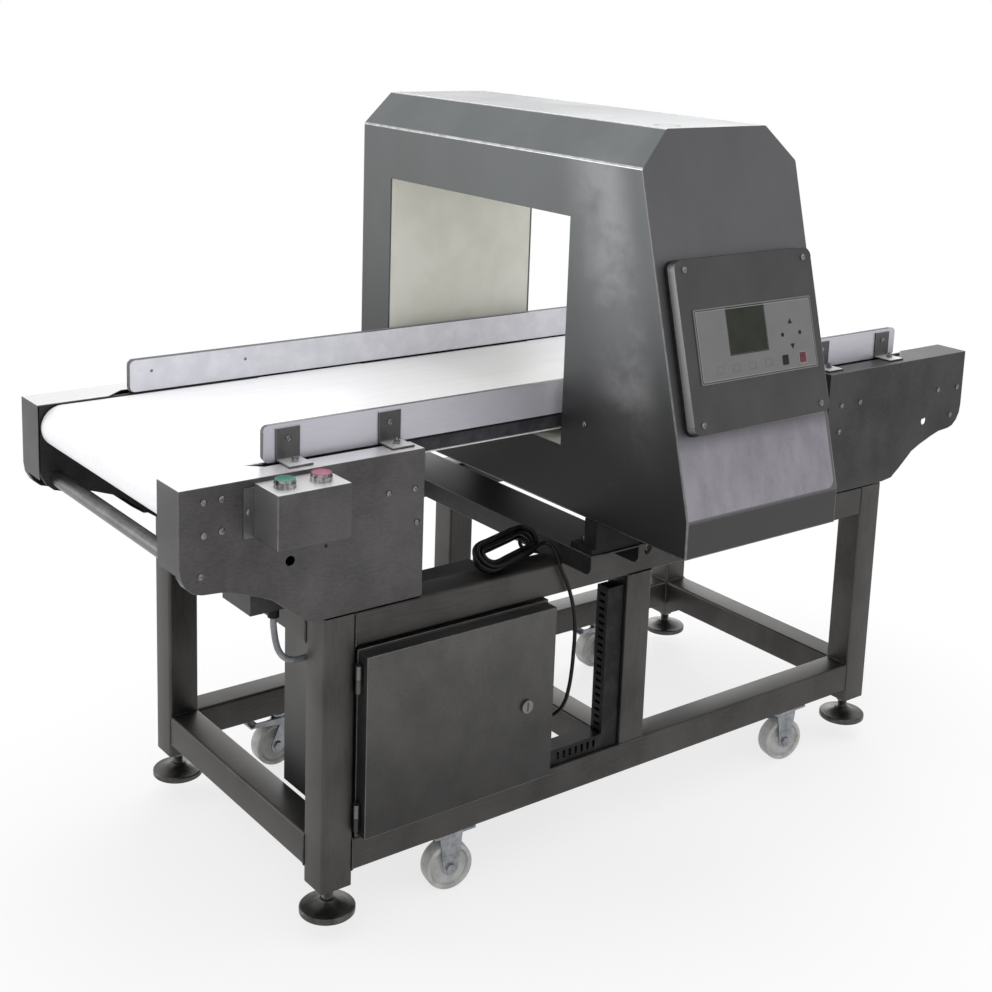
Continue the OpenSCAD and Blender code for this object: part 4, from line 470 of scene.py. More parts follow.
SHEET_GRAIN = {"grain": (9, 1, 2), "grain_size": 0.8, "cloud": 110, "depth": 0.008}
finishes = {paint.name: paint.material for paint in (
    steel("frame_steel", (0.052, 0.05, 0.048), (0.098, 0.094, 0.09), 0.42, (1, 1, 22)),
    steel("rail_steel", (0.045, 0.043, 0.042), (0.088, 0.084, 0.081), 0.42, (22, 1, 1)),
    # Darker than the frame: painted shade of the head over the cross channels
    steel("channel_steel", (0.03, 0.029, 0.029), (0.07, 0.067, 0.066), 0.42, (1, 22, 1)),
    # Its top faces are painted light, as lit from above
    steel("housing_steel", (0.064, 0.061, 0.061), (0.122, 0.117, 0.117), 0.42, **SHEET_GRAIN,
          top=PAINTED_LIT_TOP),
    # A darker copy of the housings' steel, painted as in shade; its top is painted a little lighter
    steel("outfeed_steel_shaded", (0.038, 0.037, 0.037), (0.076, 0.074, 0.074), 0.42, **SHEET_GRAIN,
          top=(0.13, 0.13, 0.132)),
    # Its top is painted light, and its left side painted lighter, as lit
    steel("box_steel", (0.064, 0.061, 0.061), (0.122, 0.117, 0.117), 0.42, **SHEET_GRAIN,
          top=PAINTED_LIT_TOP, left=(0.34, 0.332, 0.332)),
    # A darker copy of the housings' steel for the inner side plates, painted as in shade
    steel("inner_steel_shaded", (0.03, 0.03, 0.03), (0.07, 0.068, 0.068), 0.5, (22, 1, 1)),
    head_skin(),
    steel("flange_steel", (0.12, 0.118, 0.118), (0.18, 0.176, 0.176), 0.42, (2, 1, 9), 0.8, 60, 0.008),
    # Its left side is painted lighter, as lit
    steel("cover_steel", (0.064, 0.062, 0.063), (0.098, 0.095, 0.096), 0.5, (1, 1, 1), 0.9, 120,
          left=(0.32, 0.315, 0.315)),
    # Painted shade: the door darkens towards its bottom
    steel("door_steel", (0.072, 0.07, 0.069), (0.124, 0.121, 0.118), 0.42, **SHEET_GRAIN,
          painted_shade_below=(150, 400, 0.55)),
    # Its top and left side are painted darker, as shade
    steel("guide_steel", (0.5, 0.49, 0.545), (0.6, 0.59, 0.645), 0.45, (30, 1, 1), 1.2, 400,
          metallic=0.5, top=(0.06, 0.06, 0.063), left=(0.12, 0.12, 0.124)),
    # Its top faces are painted light, as lit from above
    steel("bracket_steel", (0.06, 0.058, 0.058), (0.115, 0.11, 0.11), 0.42, (1, 1, 18), top=PAINTED_LIT_TOP),
    steel("plain_steel", (0.24, 0.24, 0.24), (0.42, 0.42, 0.42), 0.3, (1, 1, 1), 0.6, 20),
    steel("bar_steel", (0.11, 0.108, 0.106), (0.21, 0.206, 0.203), 0.34, (1, 24, 1), 1.2, 60),
    steel("weld_steel", (0.045, 0.044, 0.043), (0.1, 0.098, 0.096), 0.4, (1, 1, 1), 1.4, 12),
    steel("screw_steel", (0.07, 0.07, 0.07), (0.3, 0.3, 0.3), 0.26, (1, 1, 1), 1.6, 5, 0.05),
    steel("foot_steel", (0.035, 0.034, 0.033), (0.12, 0.117, 0.113), 0.34, (1, 1, 1), 0.9, 22),
    steel("zinc_plate", (0.16, 0.17, 0.185), (0.36, 0.37, 0.39), 0.3, (1, 1, 1), 2.5, 16),
    moulded("white_nylon", (0.36, 0.36, 0.35), (0.5, 0.5, 0.49), 0.42),
    belt_fabric(),
    # Its rim faces are painted near black as shade
    moulded("white_strip", (0.62, 0.62, 0.67), (0.7, 0.7, 0.75), 0.4, 1.0, 0.02, rim=(0.09, 0.09, 0.094)),
    # Painted shade: the slider bed is near black, as the dark band under the belt's edge
    moulded("grey_bed", (0.035, 0.034, 0.04), (0.06, 0.058, 0.068), 0.5, 0.8, 0.02, shine=0.25),
    liner_glass(),
    moulded("black_rubber", (0.006, 0.006, 0.006), (0.013, 0.013, 0.013), 0.6, 0.5, 0.05, shine=0.2),
    keypad_film(),
    moulded("dark_key", (0.012, 0.012, 0.013), (0.022, 0.022, 0.023), 0.5, 0.5, 0.01, shine=0.1),
    moulded("red_key", (0.095, 0.03, 0.036), (0.135, 0.042, 0.052), 0.5, 0.5, 0.01, shine=0.15),
    moulded("pink_line", (0.34, 0.2, 0.21), (0.4, 0.25, 0.26), 0.45, 0.5, 0.01),
    moulded("grey_line", (0.07, 0.07, 0.072), (0.095, 0.095, 0.097), 0.5, 0.5, 0.01),
    moulded("pale_line", (0.18, 0.18, 0.182), (0.215, 0.215, 0.217), 0.45, 0.5, 0.01),
    display_glass(),
    moulded("green_cap", (0.04, 0.17, 0.13), (0.06, 0.23, 0.18), 0.28, 1.5, 0.01),
    moulded("red_cap", (0.3, 0.085, 0.135), (0.38, 0.13, 0.19), 0.28, 1.5, 0.01),
    steel("bezel_chrome", (0.03, 0.03, 0.03), (0.5, 0.49, 0.48), 0.16, (1, 1, 12), 2.2, 9),
    moulded("motor_paint", (0.014, 0.014, 0.015), (0.034, 0.034, 0.036), 0.5, 1.6, 0.08),
    moulded("bearing_iron", (0.06, 0.066, 0.075), (0.1, 0.105, 0.115), 0.5, 1.4, 0.1, metallic=0.3),
    moulded("black_belt", (0.015, 0.015, 0.016), (0.035, 0.035, 0.035), 0.62, 0.7, 0.05),
    moulded("green_board", (0.02, 0.14, 0.06), (0.03, 0.2, 0.09), 0.4, 1.2, 0.05),
    moulded("coil_copper", (0.42, 0.2, 0.09), (0.58, 0.3, 0.14), 0.35, 0.8, 0.05, metallic=0.8),
    moulded("dark_duct", (0.01, 0.01, 0.011), (0.024, 0.024, 0.026), 0.5, 0.8, 0.03, shine=0.15),
    cable_jacket("black_cable", (0.003, 0.003, 0.003), (0.009, 0.009, 0.009), 0.22),
    cable_jacket("grey_conduit", (0.16, 0.17, 0.18), (0.25, 0.26, 0.27), 0.5),
    moulded("unit_case", (0.1, 0.105, 0.12), (0.16, 0.165, 0.18), 0.5, 0.9, 0.04),
    # Painted light: the finishes of the rounded folds and edges stand for the light that they catch
    painted_edge_light("frame_edge", (0.17, 0.165, 0.16), 0.34),
    painted_edge_light("head_edge", (0.6, 0.6, 0.6), 0.3),
    painted_edge_light("head_fold", (0.21, 0.206, 0.21), 0.34),
    painted_edge_light("housing_edge", (0.17, 0.166, 0.166), 0.34),
    painted_edge_light("box_edge", (0.5, 0.49, 0.49), 0.34),
    painted_edge_light("cover_edge", (0.3, 0.29, 0.295), 0.34),
    painted_edge_light("guide_edge", (0.12, 0.118, 0.12), 0.4),
)}


# Workshop: making, shaping and finishing pieces
MERGE_WITHIN = 0.01
SMOOTH_ANGLE = 35
TUBE_CORNER = 4.5
BEAD_R = 1.7


def clear_selection():
    bpy.ops.object.select_all(action="DESELECT")


def take(piece):
    """Selects one piece alone and makes it the active one."""
    clear_selection()
    piece.select_set(True)
    bpy.context.view_layer.objects.active = piece


def set_in_place(piece):
    """The piece's place goes into its mesh."""
    take(piece)
    bpy.ops.object.transform_apply(location=True, rotation=True, scale=True)


def line_mesh(name, points):
    """An open line from point to point, as a mesh."""
    mesh = bpy.data.meshes.new(name)
    mesh.from_pydata([tuple(p) for p in points], [(i, i + 1) for i in range(len(points) - 1)], [])
    piece = bpy.data.objects.new(name, mesh)
    bpy.context.scene.collection.objects.link(piece)
    take(piece)
    return piece


def nothing_picked(mesh):
    """Clears the mesh's own selection of points, edges and faces."""
    for parts in (mesh.vertices, mesh.edges, mesh.polygons):
        for part in parts:
            part.select = False


def pick_edges(piece, wanted):
    """Selects the edges for which wanted(middle, direction) is true, both in millimetres."""
    mesh = piece.data
    nothing_picked(mesh)
    for edge in mesh.edges:
        a, b = (mesh.vertices[i].co / MM for i in edge.vertices)
        edge.select = bool(wanted((a + b) / 2, (b - a).normalized()))


def pick_faces(piece, wanted):
    """Selects the faces whose middle, in millimetres, is a wanted place."""
    nothing_picked(piece.data)
    for face in piece.data.polygons:
        face.select = bool(wanted(face.center / MM))


def edit(piece, mode="EDGE"):
    """Opens a piece for editing by its points, edges or faces."""
    take(piece)
    bpy.context.tool_settings.mesh_select_mode = (mode == "VERT", mode == "EDGE", mode == "FACE")
    bpy.ops.object.mode_set(mode="EDIT")


def done(piece, angle=SMOOTH_ANGLE):
    """Leaves edit mode and shades the piece smooth, but not over its sharp edges."""
    bpy.ops.object.mode_set(mode="OBJECT")
    take(piece)
    bpy.ops.object.shade_smooth_by_angle(angle=math.radians(angle))
    return piece


def box(name, low, high):
    """A closed box between two corners on the drawing."""
    low, high = at(*low), at(*high)
    clear_selection()
    bpy.ops.mesh.primitive_cube_add(size=1, location=(low + high) / 2)
    piece = bpy.context.active_object
    piece.name = name
    piece.scale = high - low
    set_in_place(piece)
    return piece


def tube_length(name, low, high):
    """A length of square tube with the rounded corners of a drawn section."""
    piece = box(name, low, high)
    size = [b - a for a, b in zip(low, high)]
    along = size.index(max(size))
    pick_edges(piece, lambda middle, way: abs(way[along]) > 0.9)
    edit(piece)
    bpy.ops.mesh.bevel(offset=TUBE_CORNER * MM, segments=4, affect="EDGES")
    return done(piece)


def weld_bead(name, centre, axis, side):
    """A thin weld bead round a square tube where it meets another one."""
    clear_selection()
    turn = {"x": (0, math.pi / 2, 0), "y": (math.pi / 2, 0, 0), "z": (0, 0, 0)}[axis]
    bpy.ops.mesh.primitive_plane_add(size=side * MM, location=at(*centre), rotation=turn)
    piece = bpy.context.active_object
    piece.name = name
    edit(piece, "VERT")
    bpy.ops.mesh.select_all(action="SELECT")
    bpy.ops.mesh.bevel(offset=TUBE_CORNER * MM, segments=3, affect="VERTICES")
    bpy.ops.mesh.select_all(action="SELECT")
    bpy.ops.mesh.delete(type="ONLY_FACE")
    bpy.ops.object.mode_set(mode="OBJECT")
    take(piece)
    bpy.ops.object.convert(target="CURVE")
    piece = bpy.context.active_object
    piece.data.bevel_depth = BEAD_R * MM
    piece.data.bevel_resolution = 1
    bpy.ops.object.convert(target="MESH")
    piece = bpy.context.active_object
    set_in_place(piece)
    bpy.ops.object.shade_smooth()
    return piece


def turned(name, centre, profile, axis=(0, 0, 1), steps=48, angle=30):
    """A piece turned on a lathe: the profile's points are radius and height over the centre."""
    axis = Vector(axis).normalized()
    side = axis.orthogonal().normalized()
    middle = at(*centre)
    points = [middle + (side * r + axis * h) * MM for r, h in profile]
    piece = line_mesh(name, points)
    edit(piece, "VERT")
    bpy.ops.mesh.select_all(action="SELECT")
    bpy.ops.mesh.spin(steps=steps, angle=2 * math.pi, center=middle, axis=axis)
    bpy.ops.mesh.select_all(action="SELECT")
    bpy.ops.mesh.remove_doubles(threshold=MERGE_WITHIN * MM)
    bpy.ops.mesh.normals_make_consistent(inside=False)
    return done(piece, angle)


def joined(pieces, name):
    """One piece made of several, in the finish of the first."""
    clear_selection()
    for piece in pieces:
        piece.select_set(True)
    bpy.context.view_layer.objects.active = pieces[0]
    bpy.ops.object.join()
    piece = bpy.context.active_object
    piece.name = name
    return piece


def merged_copy(node):
    """A copy of a CAD node with its doubles merged and its flat faces made whole."""
    piece = bpy.data.objects.new(node + "_made", frame["nodes"][node].data.copy())
    bpy.context.scene.collection.objects.link(piece)
    piece.data.materials.clear()
    edit(piece, "VERT")
    bpy.ops.mesh.select_all(action="SELECT")
    bpy.ops.mesh.remove_doubles(threshold=MERGE_WITHIN * MM)
    bpy.ops.mesh.dissolve_limited(angle_limit=math.radians(0.5))
    bpy.ops.object.mode_set(mode="OBJECT")
    return piece


def round_folds(piece, width, segments, least, edge, limit=30, wanted=None):
    """Rounds the edges that are sharper than the limit and at least so long, in the edge's finish."""
    normals = {}
    for face in piece.data.polygons:
        for key in face.edge_keys:
            normals.setdefault(key, []).append(face.normal.copy())
    bound = math.cos(math.radians(limit))
    sharp = {key for key, pair in normals.items() if len(pair) == 2 and pair[0].dot(pair[1]) < bound}
    spots = piece.data.vertices
    chosen = set()
    for key in sharp:
        a, b = (spots[i].co / MM for i in key)
        if (b - a).length >= least and (wanted is None or wanted((a + b) / 2)):
            chosen.add(key)
    nothing_picked(piece.data)
    for line in piece.data.edges:
        line.select = line.key in chosen
    piece.data.materials.append(finishes[edge])
    edit(piece)
    bpy.ops.mesh.bevel(offset=width * MM, segments=segments, affect="EDGES", clamp_overlap=False,
                       material=len(piece.data.materials) - 1)
    bpy.ops.object.mode_set(mode="OBJECT")


def even_shading(piece, smooth=SMOOTH_ANGLE):
    """Shades a piece smooth up to an angle, with the large faces kept flat."""
    done(piece, smooth)
    even = piece.modifiers.new("even_shading", "WEIGHTED_NORMAL")
    even.keep_sharp = True
    bpy.ops.object.modifier_apply(modifier=even.name)


def soften(piece, width, segments, angle):
    """Rounds every sharp edge alike, as far as the smallest feature allows."""
    bevel = piece.modifiers.new("rounding", "BEVEL")
    bevel.width = width * MM
    bevel.segments = segments
    bevel.limit_method = "ANGLE"
    bevel.angle_limit = math.radians(angle)
    bevel.miter_outer = "MITER_ARC"
    take(piece)
    bpy.ops.object.modifier_apply(modifier=bevel.name)


def finish_piece(piece, slot, body, nodes=(), finish=None):
    """Gives a piece its finish if it has none yet, and its body, and hides the CAD nodes that it stands for."""
    if not piece.data.materials:
        piece.data.materials.append(finishes[finish or slot])
    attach(piece, body)
    if nodes:
        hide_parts(*nodes)
    return piece


def body_of_node(node):
    """The moving body, or the stand, that a CAD node belongs to."""
    for body, members in frame["record"]["behaviour"]["bodies"].items():
        if node in members:
            return body


def make_rounded(node, slot, width, segments=2, angle=30, finish=None):
    """Stands a CAD node's softened copy in its place."""
    piece = merged_copy(node)
    if width:
        soften(piece, width, segments, angle)
        even_shading(piece)
    else:
        done(piece)
    return finish_piece(piece, slot, body_of_node(node), [node], finish)


def make_sheet(node, slot, folds, finish=None, smooth=SMOOTH_ANGLE):
    """Stands a CAD node made of sheet in its place, with each of its folds given to round_folds."""
    piece = merged_copy(node)
    piece.data.materials.append(finishes[finish or slot])
    for fold in folds:
        round_folds(piece, *fold)
    even_shading(piece, smooth)
    return finish_piece(piece, slot, body_of_node(node), [node])


# Stand of square tube, welded
TUBE = 50
LEG_X = 545
LEG_Y = 237.5
LEG_LOW = 77
TOP_RAIL = (432, 482)
LOW_RAIL = (98, 148)


def make_stand():
    """Legs, rails and middle posts as lengths of tube, with a bead round each joint."""
    half = TUBE / 2
    legs = [tube_length("leg", (x - half, y - half, LEG_LOW), (x + half, y + half, TOP_RAIL[1]))
            for x in (-LEG_X, LEG_X) for y in (-LEG_Y, LEG_Y)]
    beads = []
    rails = []
    for low, high in (TOP_RAIL, LOW_RAIL):
        middle = (low + high) / 2
        for y in (-LEG_Y, LEG_Y):
            rails.append(tube_length("rail", (-LEG_X + half, y - half, low), (LEG_X - half, y + half, high)))
            beads += [weld_bead("bead", (x, y, middle), "x", TUBE) for x in (half - LEG_X, LEG_X - half)]
        for x in (-LEG_X, LEG_X):
            rails.append(tube_length("rail", (x - half, half - LEG_Y, low), (x + half, LEG_Y - half, high)))
            beads += [weld_bead("bead", (x, y, middle), "y", TUBE) for y in (half - LEG_Y, LEG_Y - half)]
    posts = []
    for y in (-LEG_Y, LEG_Y):
        posts.append(tube_length("post", (-half, y - half, LOW_RAIL[1]), (half, y + half, TOP_RAIL[0])))
        beads += [weld_bead("bead", (0, y, z), "z", TUBE) for z in (LOW_RAIL[1], TOP_RAIL[0])]
    posts.append(tube_length("post", (-half, half - LEG_Y, LOW_RAIL[0]), (half, LEG_Y - half, LOW_RAIL[1])))
    beads += [weld_bead("bead", (0, y, sum(LOW_RAIL) / 2), "y", TUBE) for y in (half - LEG_Y, LEG_Y - half)]
    finish_piece(joined(legs, "stand_legs"), "frame_steel", "stand", ["legs"])
    finish_piece(joined(rails, "stand_rails"), "frame_steel", "stand", ["rails"], "rail_steel")
    finish_piece(joined(posts, "stand_posts"), "frame_steel", "stand", ["middle_posts"])
    finish_piece(joined(beads, "weld_beads"), "frame_steel", "stand", finish="weld_steel")


# Levelling feet: the pad's outline, and the stem's thread, as radius and height over the floor
STEM_R = 8
FOOT_PAD = [(0, 33), (38.5, 33), (40, 34.5), (40, 41), (38.5, 42.6), (30, 43.4), (15, 49), (11, 53),
            (STEM_R, 53.5)]
THREAD_ROOT_R = 7.3
THREAD_LOW = 55
THREAD_PITCH = 2
THREAD_TURNS = 40
STEM_TOP = THREAD_LOW + THREAD_PITCH * THREAD_TURNS


def make_feet():
    """Levelling feet: a pad, a cone and a threaded stem up into the leg."""
    profile = list(FOOT_PAD)
    for z in range(THREAD_LOW, STEM_TOP, THREAD_PITCH):
        profile += [(STEM_R, z), (THREAD_ROOT_R, z + THREAD_PITCH / 2)]
    profile += [(THREAD_ROOT_R, STEM_TOP), (0, STEM_TOP)]
    for side, y in (("front", -LEG_Y), ("rear", LEG_Y)):
        for end, x in (("left", -LEG_X), ("right", LEG_X)):
            node = f"foot_{side}_{end}"
            foot = turned(node + "_made", (x, y, 0), profile)
            finish_piece(foot, "plain_steel", node, [node], "foot_steel")


# Casters: half of the wheel's outline, as radius and distance from its middle
WHEEL_HALF = [(6, 13), (11.5, 13), (12.5, 12), (13.5, 8.5), (28.5, 8.5), (30, 12), (31, 13), (34.5, 13),
              (36.4, 12), (37.2, 10), (37.5, 6)]


def make_wheels():
    """Nylon wheels with a crowned tread and recessed sides."""
    profile = WHEEL_HALF + [(r, -h) for r, h in WHEEL_HALF[::-1]] + WHEEL_HALF[:1]
    for side in ("front", "rear"):
        for end in ("left", "right"):
            node = f"wheel_{side}_{end}"
            low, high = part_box(node)
            centre = (low + high) / 2 / MM
            joint = next(j for j in frame["joints"] if j["child"] == node)
            middle = (centre.x, centre.y - BELT_Y, centre.z)
            wheel = turned(node + "_made", middle, profile, joint["axis"], 64)
            finish_piece(wheel, "white_nylon", node, [node])


def make_caster_metal():
    """Zinc-plated forks, top plates and brake pedals."""
    for name in ("fork_rear_left", "fork_rear_right", "fixed_forks", "swivel_plates"):
        make_rounded(name, "zinc_plate", 0.6)
    for name in ("brake_pedal_left", "brake_pedal_right"):
        make_rounded(name, "zinc_plate", 0.5)


def make_conveyor():
    """Channels, side plates, housings, bed, belt and rollers, and the drive in the infeed end."""
    make_sheet("cross_channels", "channel_steel", [(1.1, 2, 20, "frame_edge")])
    make_rounded("side_plates", "housing_steel", 0.5, finish="inner_steel_shaded")
    make_sheet("infeed_housings", "housing_steel", [(0.8, 2, 12, "housing_edge")])
    make_sheet("outfeed_housings", "housing_steel", [(0.8, 2, 12, "housing_edge")], "outfeed_steel_shaded")
    make_rounded("slider_bed", "grey_bed", 0.6)
    make_rounded("belt", "white_belt", 0.3, 1, angle=50)
    for name in ("drive_roller", "tail_roller", "return_roller_infeed", "return_roller_outfeed", "tie_bars"):
        make_rounded(name, "plain_steel", 0.6, finish="bar_steel")
    make_rounded("roller_bearings", "bearing_iron", 0.6)
    make_rounded("gear_motor", "motor_paint", 0.8)
    for name in ("motor_pulley", "roller_pulley"):
        make_rounded(name, "plain_steel", 0.3)
    make_rounded("drive_belt", "black_belt", 0.3)


# Side guides, each over a black strip that stands for the shade in the slot beside the belt
SHADE_STRIP_HALF = 634
SHADE_STRIP_Y = 209
SHADE_STRIP_THICK = 4
SHADE_STRIP_LOW = 693.4
SHADE_STRIP_TOP = 697


def make_guides():
    """Guide rails with their rubbing strips, black strips of painted shade under them, brackets and all the
    machine's screws.
    """
    make_sheet("guide_rails", "guide_steel", [(0.6, 2, 1.4, "guide_edge")])
    make_rounded("guide_strips", "white_strip", 0.8)
    # Painted shade: a black strip fills the slot between each guide and the belt
    half = SHADE_STRIP_THICK / 2
    shade_strips = [box("gap_shade_strip", (-SHADE_STRIP_HALF, y - half, SHADE_STRIP_LOW), (SHADE_STRIP_HALF, y + half, SHADE_STRIP_TOP))
             for y in (-SHADE_STRIP_Y, SHADE_STRIP_Y)]
    finish_piece(joined(shade_strips, "guide_gap_shades"), "black_rubber", "stand")
    make_sheet("guide_brackets", "guide_steel", [(0.8, 2, 8, "housing_edge")], "bracket_steel")
    make_rounded("fasteners", "plain_steel", 0, finish="screw_steel")


# Switch box and its two push buttons; the profiles are radius and height over the box's top
BOX_LEFT = -676
BOX_TOP = 692
BOX_CORNER_Y = -320
SWITCH_Y = -293.5
START_X = -649
STOP_X = -596
BEZEL_R = 15
BEZEL_BORE_R = 13.7
BEZEL_HIGH = 6.5
FLUTES = 24
FLUTE_R_SHARE = 0.965
CAP_R = 13.4
CAP_SIDE_LOW = 5
CAP_PROFILE = [(0, -8), (11, -8), (11, 5.3), (13.1, 5.3), (CAP_R, 5.6), (CAP_R, 10.3), (13, 10.8),
               (12.5, 11), (12, 10.8), (11.7, 10.3), (11.2, 10.4), (6, 10.8), (0, 11)]
BARREL_LOW = -34
BARREL_PROFILE = [(11.3, 1), (BEZEL_BORE_R, 1), (BEZEL_BORE_R, 0), (13, 0), (13, BARREL_LOW),
                  (0, BARREL_LOW), (0, -12.6), (11.3, -12.6), (11.3, 1)]
BLOCK_HALF = 12
BLOCK_HIGH = 20
SPARE_HOLE = (-569.4, -262.5, 587.5)
SPARE_HOLE_R = 2.4
SPARE_HOLE_DEEP = 0.15


def box_corner(spot):
    """True on the switch box's front left upright edge."""
    return abs(spot.x - BOX_LEFT) < 1 and spot.y < BOX_CORNER_Y + BELT_Y


def make_switch_box():
    """The box, with the front of its flange painted paler, and the small spare hole in the housing beside it."""
    piece = make_sheet("switch_box", "housing_steel",
                       [(1.3, 3, 12, "box_edge", 30, box_corner), (0.6, 2, 12, "housing_edge")], "box_steel")
    piece.data.materials.append(finishes["flange_steel"])
    for face in piece.data.polygons:
        if face.center.x / MM < BOX_LEFT - 1 and face.normal.y < -0.9:
            face.material_index = len(piece.data.materials) - 1
    hole_outline = [(0, 0), (SPARE_HOLE_R, 0), (SPARE_HOLE_R, -SPARE_HOLE_DEEP), (0, -SPARE_HOLE_DEEP)]
    spare_hole = turned("spare_hole", SPARE_HOLE, hole_outline, (0, 1, 0))
    finish_piece(spare_hole, "black_rubber", "stand")


def make_bezel(name, x):
    """A ring with flutes round its outside."""
    clear_selection()
    centre = at(x, SWITCH_Y, BOX_TOP)
    bpy.ops.mesh.primitive_circle_add(vertices=4 * FLUTES, radius=BEZEL_R * MM, location=centre)
    piece = bpy.context.active_object
    piece.name = name
    set_in_place(piece)
    for number, spot in enumerate(piece.data.vertices):
        spot.select = number % 4 < 2
    edit(piece, "VERT")
    bpy.ops.transform.resize(value=(FLUTE_R_SHARE, FLUTE_R_SHARE, 1), center_override=centre)
    bpy.ops.mesh.primitive_circle_add(vertices=4 * FLUTES, radius=BEZEL_BORE_R * MM, location=centre)
    bpy.ops.mesh.select_all(action="SELECT")
    bpy.ops.mesh.bridge_edge_loops()
    bpy.ops.object.mode_set(mode="OBJECT")
    thickened(piece, BEZEL_HIGH)
    soften(piece, 0.25, 2, 70)
    even_shading(piece, 30)
    return piece


def make_switches():
    """The bodies behind the caps: a bezel, a barrel and a contact block each."""
    pieces = []
    for x in (START_X, STOP_X):
        block_top = BOX_TOP + BARREL_LOW
        pieces.append(make_bezel("bezel", x))
        pieces.append(turned("barrel", (x, SWITCH_Y, BOX_TOP), BARREL_PROFILE))
        pieces.append(box("contact_block", (x - BLOCK_HALF, SWITCH_Y - BLOCK_HALF, block_top - BLOCK_HIGH),
                          (x + BLOCK_HALF, SWITCH_Y + BLOCK_HALF, block_top)))
    finish_piece(joined(pieces, "switch_bodies_made"), "bezel_chrome", "stand", ["switch_bodies"])


def make_button(node, x, slot):
    """The cap's coloured face is a shallow dome over its chrome side."""
    cap = turned(node + "_made", (x, SWITCH_Y, BOX_TOP), CAP_PROFILE, (0, 0, 1), 64, 25)
    cap.data.materials.append(finishes[slot])
    cap.data.materials.append(finishes["bezel_chrome"])
    middle = at(x, SWITCH_Y, 0) / MM
    for face in cap.data.polygons:
        spot = face.center / MM
        out = math.hypot(spot.x - middle.x, spot.y - middle.y)
        face.material_index = 1 if out > CAP_R - 0.2 and spot.z > BOX_TOP + CAP_SIDE_LOW else 0
    finish_piece(cap, slot, node, [node])


# Detector head: the places that tell its folds apart
ROOF_FOLDS_ABOVE = 1040
ROOF_FOLD_REACH = 100
PASSAGE_REACH = 240
PASSAGE_LOW = 650
PASSAGE_TOP = 1000
SKIRT_FOLDS_BELOW = 600


def roof_fold(spot):
    """True on the long folds beside the head's roof."""
    return spot.z > ROOF_FOLDS_ABOVE and abs(spot.y) < ROOF_FOLD_REACH


def lower_fold(spot):
    """True on the head's other outer folds, away from the passage."""
    if abs(spot.y - BELT_Y) < PASSAGE_REACH and PASSAGE_LOW < spot.z < PASSAGE_TOP:
        return False
    on_skirt_front = spot.y < BELT_Y - HEAD_FRONT + 0.1 and spot.z < SKIRT_FOLDS_BELOW
    outer = abs(spot.x) > HEAD_HALF - 0.1 or spot.z > HEAD_TOP - 0.1 or on_skirt_front
    return outer and not roof_fold(spot)


def make_head():
    """The shell, what it holds, its mounts and the operator's cover."""
    folds = [(2.2, 3, 20, "head_edge", 12, roof_fold), (2.4, 4, 20, "head_fold", 12, lower_fold)]
    make_sheet("head_shell", "head_steel", folds, smooth=14)
    make_rounded("tunnel_liner", "cream_liner", 1.0)
    make_rounded("search_coils", "coil_copper", 1.0)
    make_rounded("control_board", "green_board", 0.3)
    make_rounded("head_mounts", "black_rubber", 1.5)
    make_sheet("operator_cover", "cover_steel", [(0.9, 3, 2, "cover_edge")])
    make_rounded("cover_gasket", "black_rubber", 0.4)


# Operator panel, drawn flat in millimetres along and up the slope and laid on the head's front
SLOPE_TURN = math.radians(90 - HEAD_SLOPE)
COVER_FRONT = 20
PLATE_LOW = (-113, 182)
PLATE_HIGH = (121, 286)
PLATE_CORNER = 3
GLASS_LOW = (-51, 218)
GLASS_HIGH = (23, 282)
FILM_THICK = 1.5
FILM_FRONT = COVER_FRONT + FILM_THICK

# Printed lines: two corners, corner radius, width, thickness and finish
PRINTED_LINES = {
    "film_border": ((-111, 184), (119, 284), 2.5, 0.7, 0.15, "dark_key"),
    "film_line": ((-109.6, 185.4), (117.6, 282.6), 2, 1.2, 0.15, "pale_line"),
    "glass_border": ((-52.4, 216.6), (24.4, 283.2), 0.5, 1.0, 0.1, "dark_key"),
}
RED_KEY_LINE = ((83.4, 190.4), (98.6, 207.6), 1.8, 0.7, 0.15, "pink_line")

# Cursor marks: two arrow heads and two dots round a middle place
MARKS_X = 73
MARKS_Z = 235
ARROW_AWAY = 17
ARROW_R = 5
DOT_AWAY = 18
DOT_R = 3
MARK_THICK = 0.25

# Keys: a dark and a red one that are raised, and four that are only outlined
KEY_LOW = 192
KEY_HIGH = 206
DARK_KEY_X = (49, 61)
RED_KEY_X = (85, 97)
KEY_THICK = 0.6
KEY_CORNER = 1.2
SOFT_KEYS_X = (-75, -44, -12, 21)
SOFT_KEY_HALF = 7
SOFT_KEY_LOW = 194
SOFT_KEY_HIGH = 204
SOFT_KEY_LINE = (1.6, 0.45, 0.12, "grey_line")


def laid(piece):
    """Moves a piece drawn on the flat onto the head's slope."""
    take(piece)
    piece.matrix_world = (Matrix.Translation(at(0, -HEAD_FRONT, SKIRT_TOP))
                          @ Matrix.Rotation(SLOPE_TURN, 4, "X") @ piece.matrix_world)
    set_in_place(piece)
    return piece


def flat_plate(name, low, high, height):
    """A flat face between two corners, at a height over the slope."""
    clear_selection()
    middle = Vector(((low[0] + high[0]) / 2, (low[1] + high[1]) / 2, height))
    bpy.ops.mesh.primitive_plane_add(size=1, location=middle * MM)
    piece = bpy.context.active_object
    piece.name = name
    piece.scale = Vector((high[0] - low[0], high[1] - low[1], 1 / MM)) * MM
    set_in_place(piece)
    return piece


def thickened(piece, thick):
    """Gives a flat piece its thickness, upwards."""
    edit(piece, "FACE")
    bpy.ops.mesh.select_all(action="SELECT")
    bpy.ops.mesh.extrude_region_move(TRANSFORM_OT_translate={"value": (0, 0, thick * MM)})
    bpy.ops.mesh.select_all(action="SELECT")
    bpy.ops.mesh.normals_make_consistent(inside=False)
    bpy.ops.object.mode_set(mode="OBJECT")
    return piece


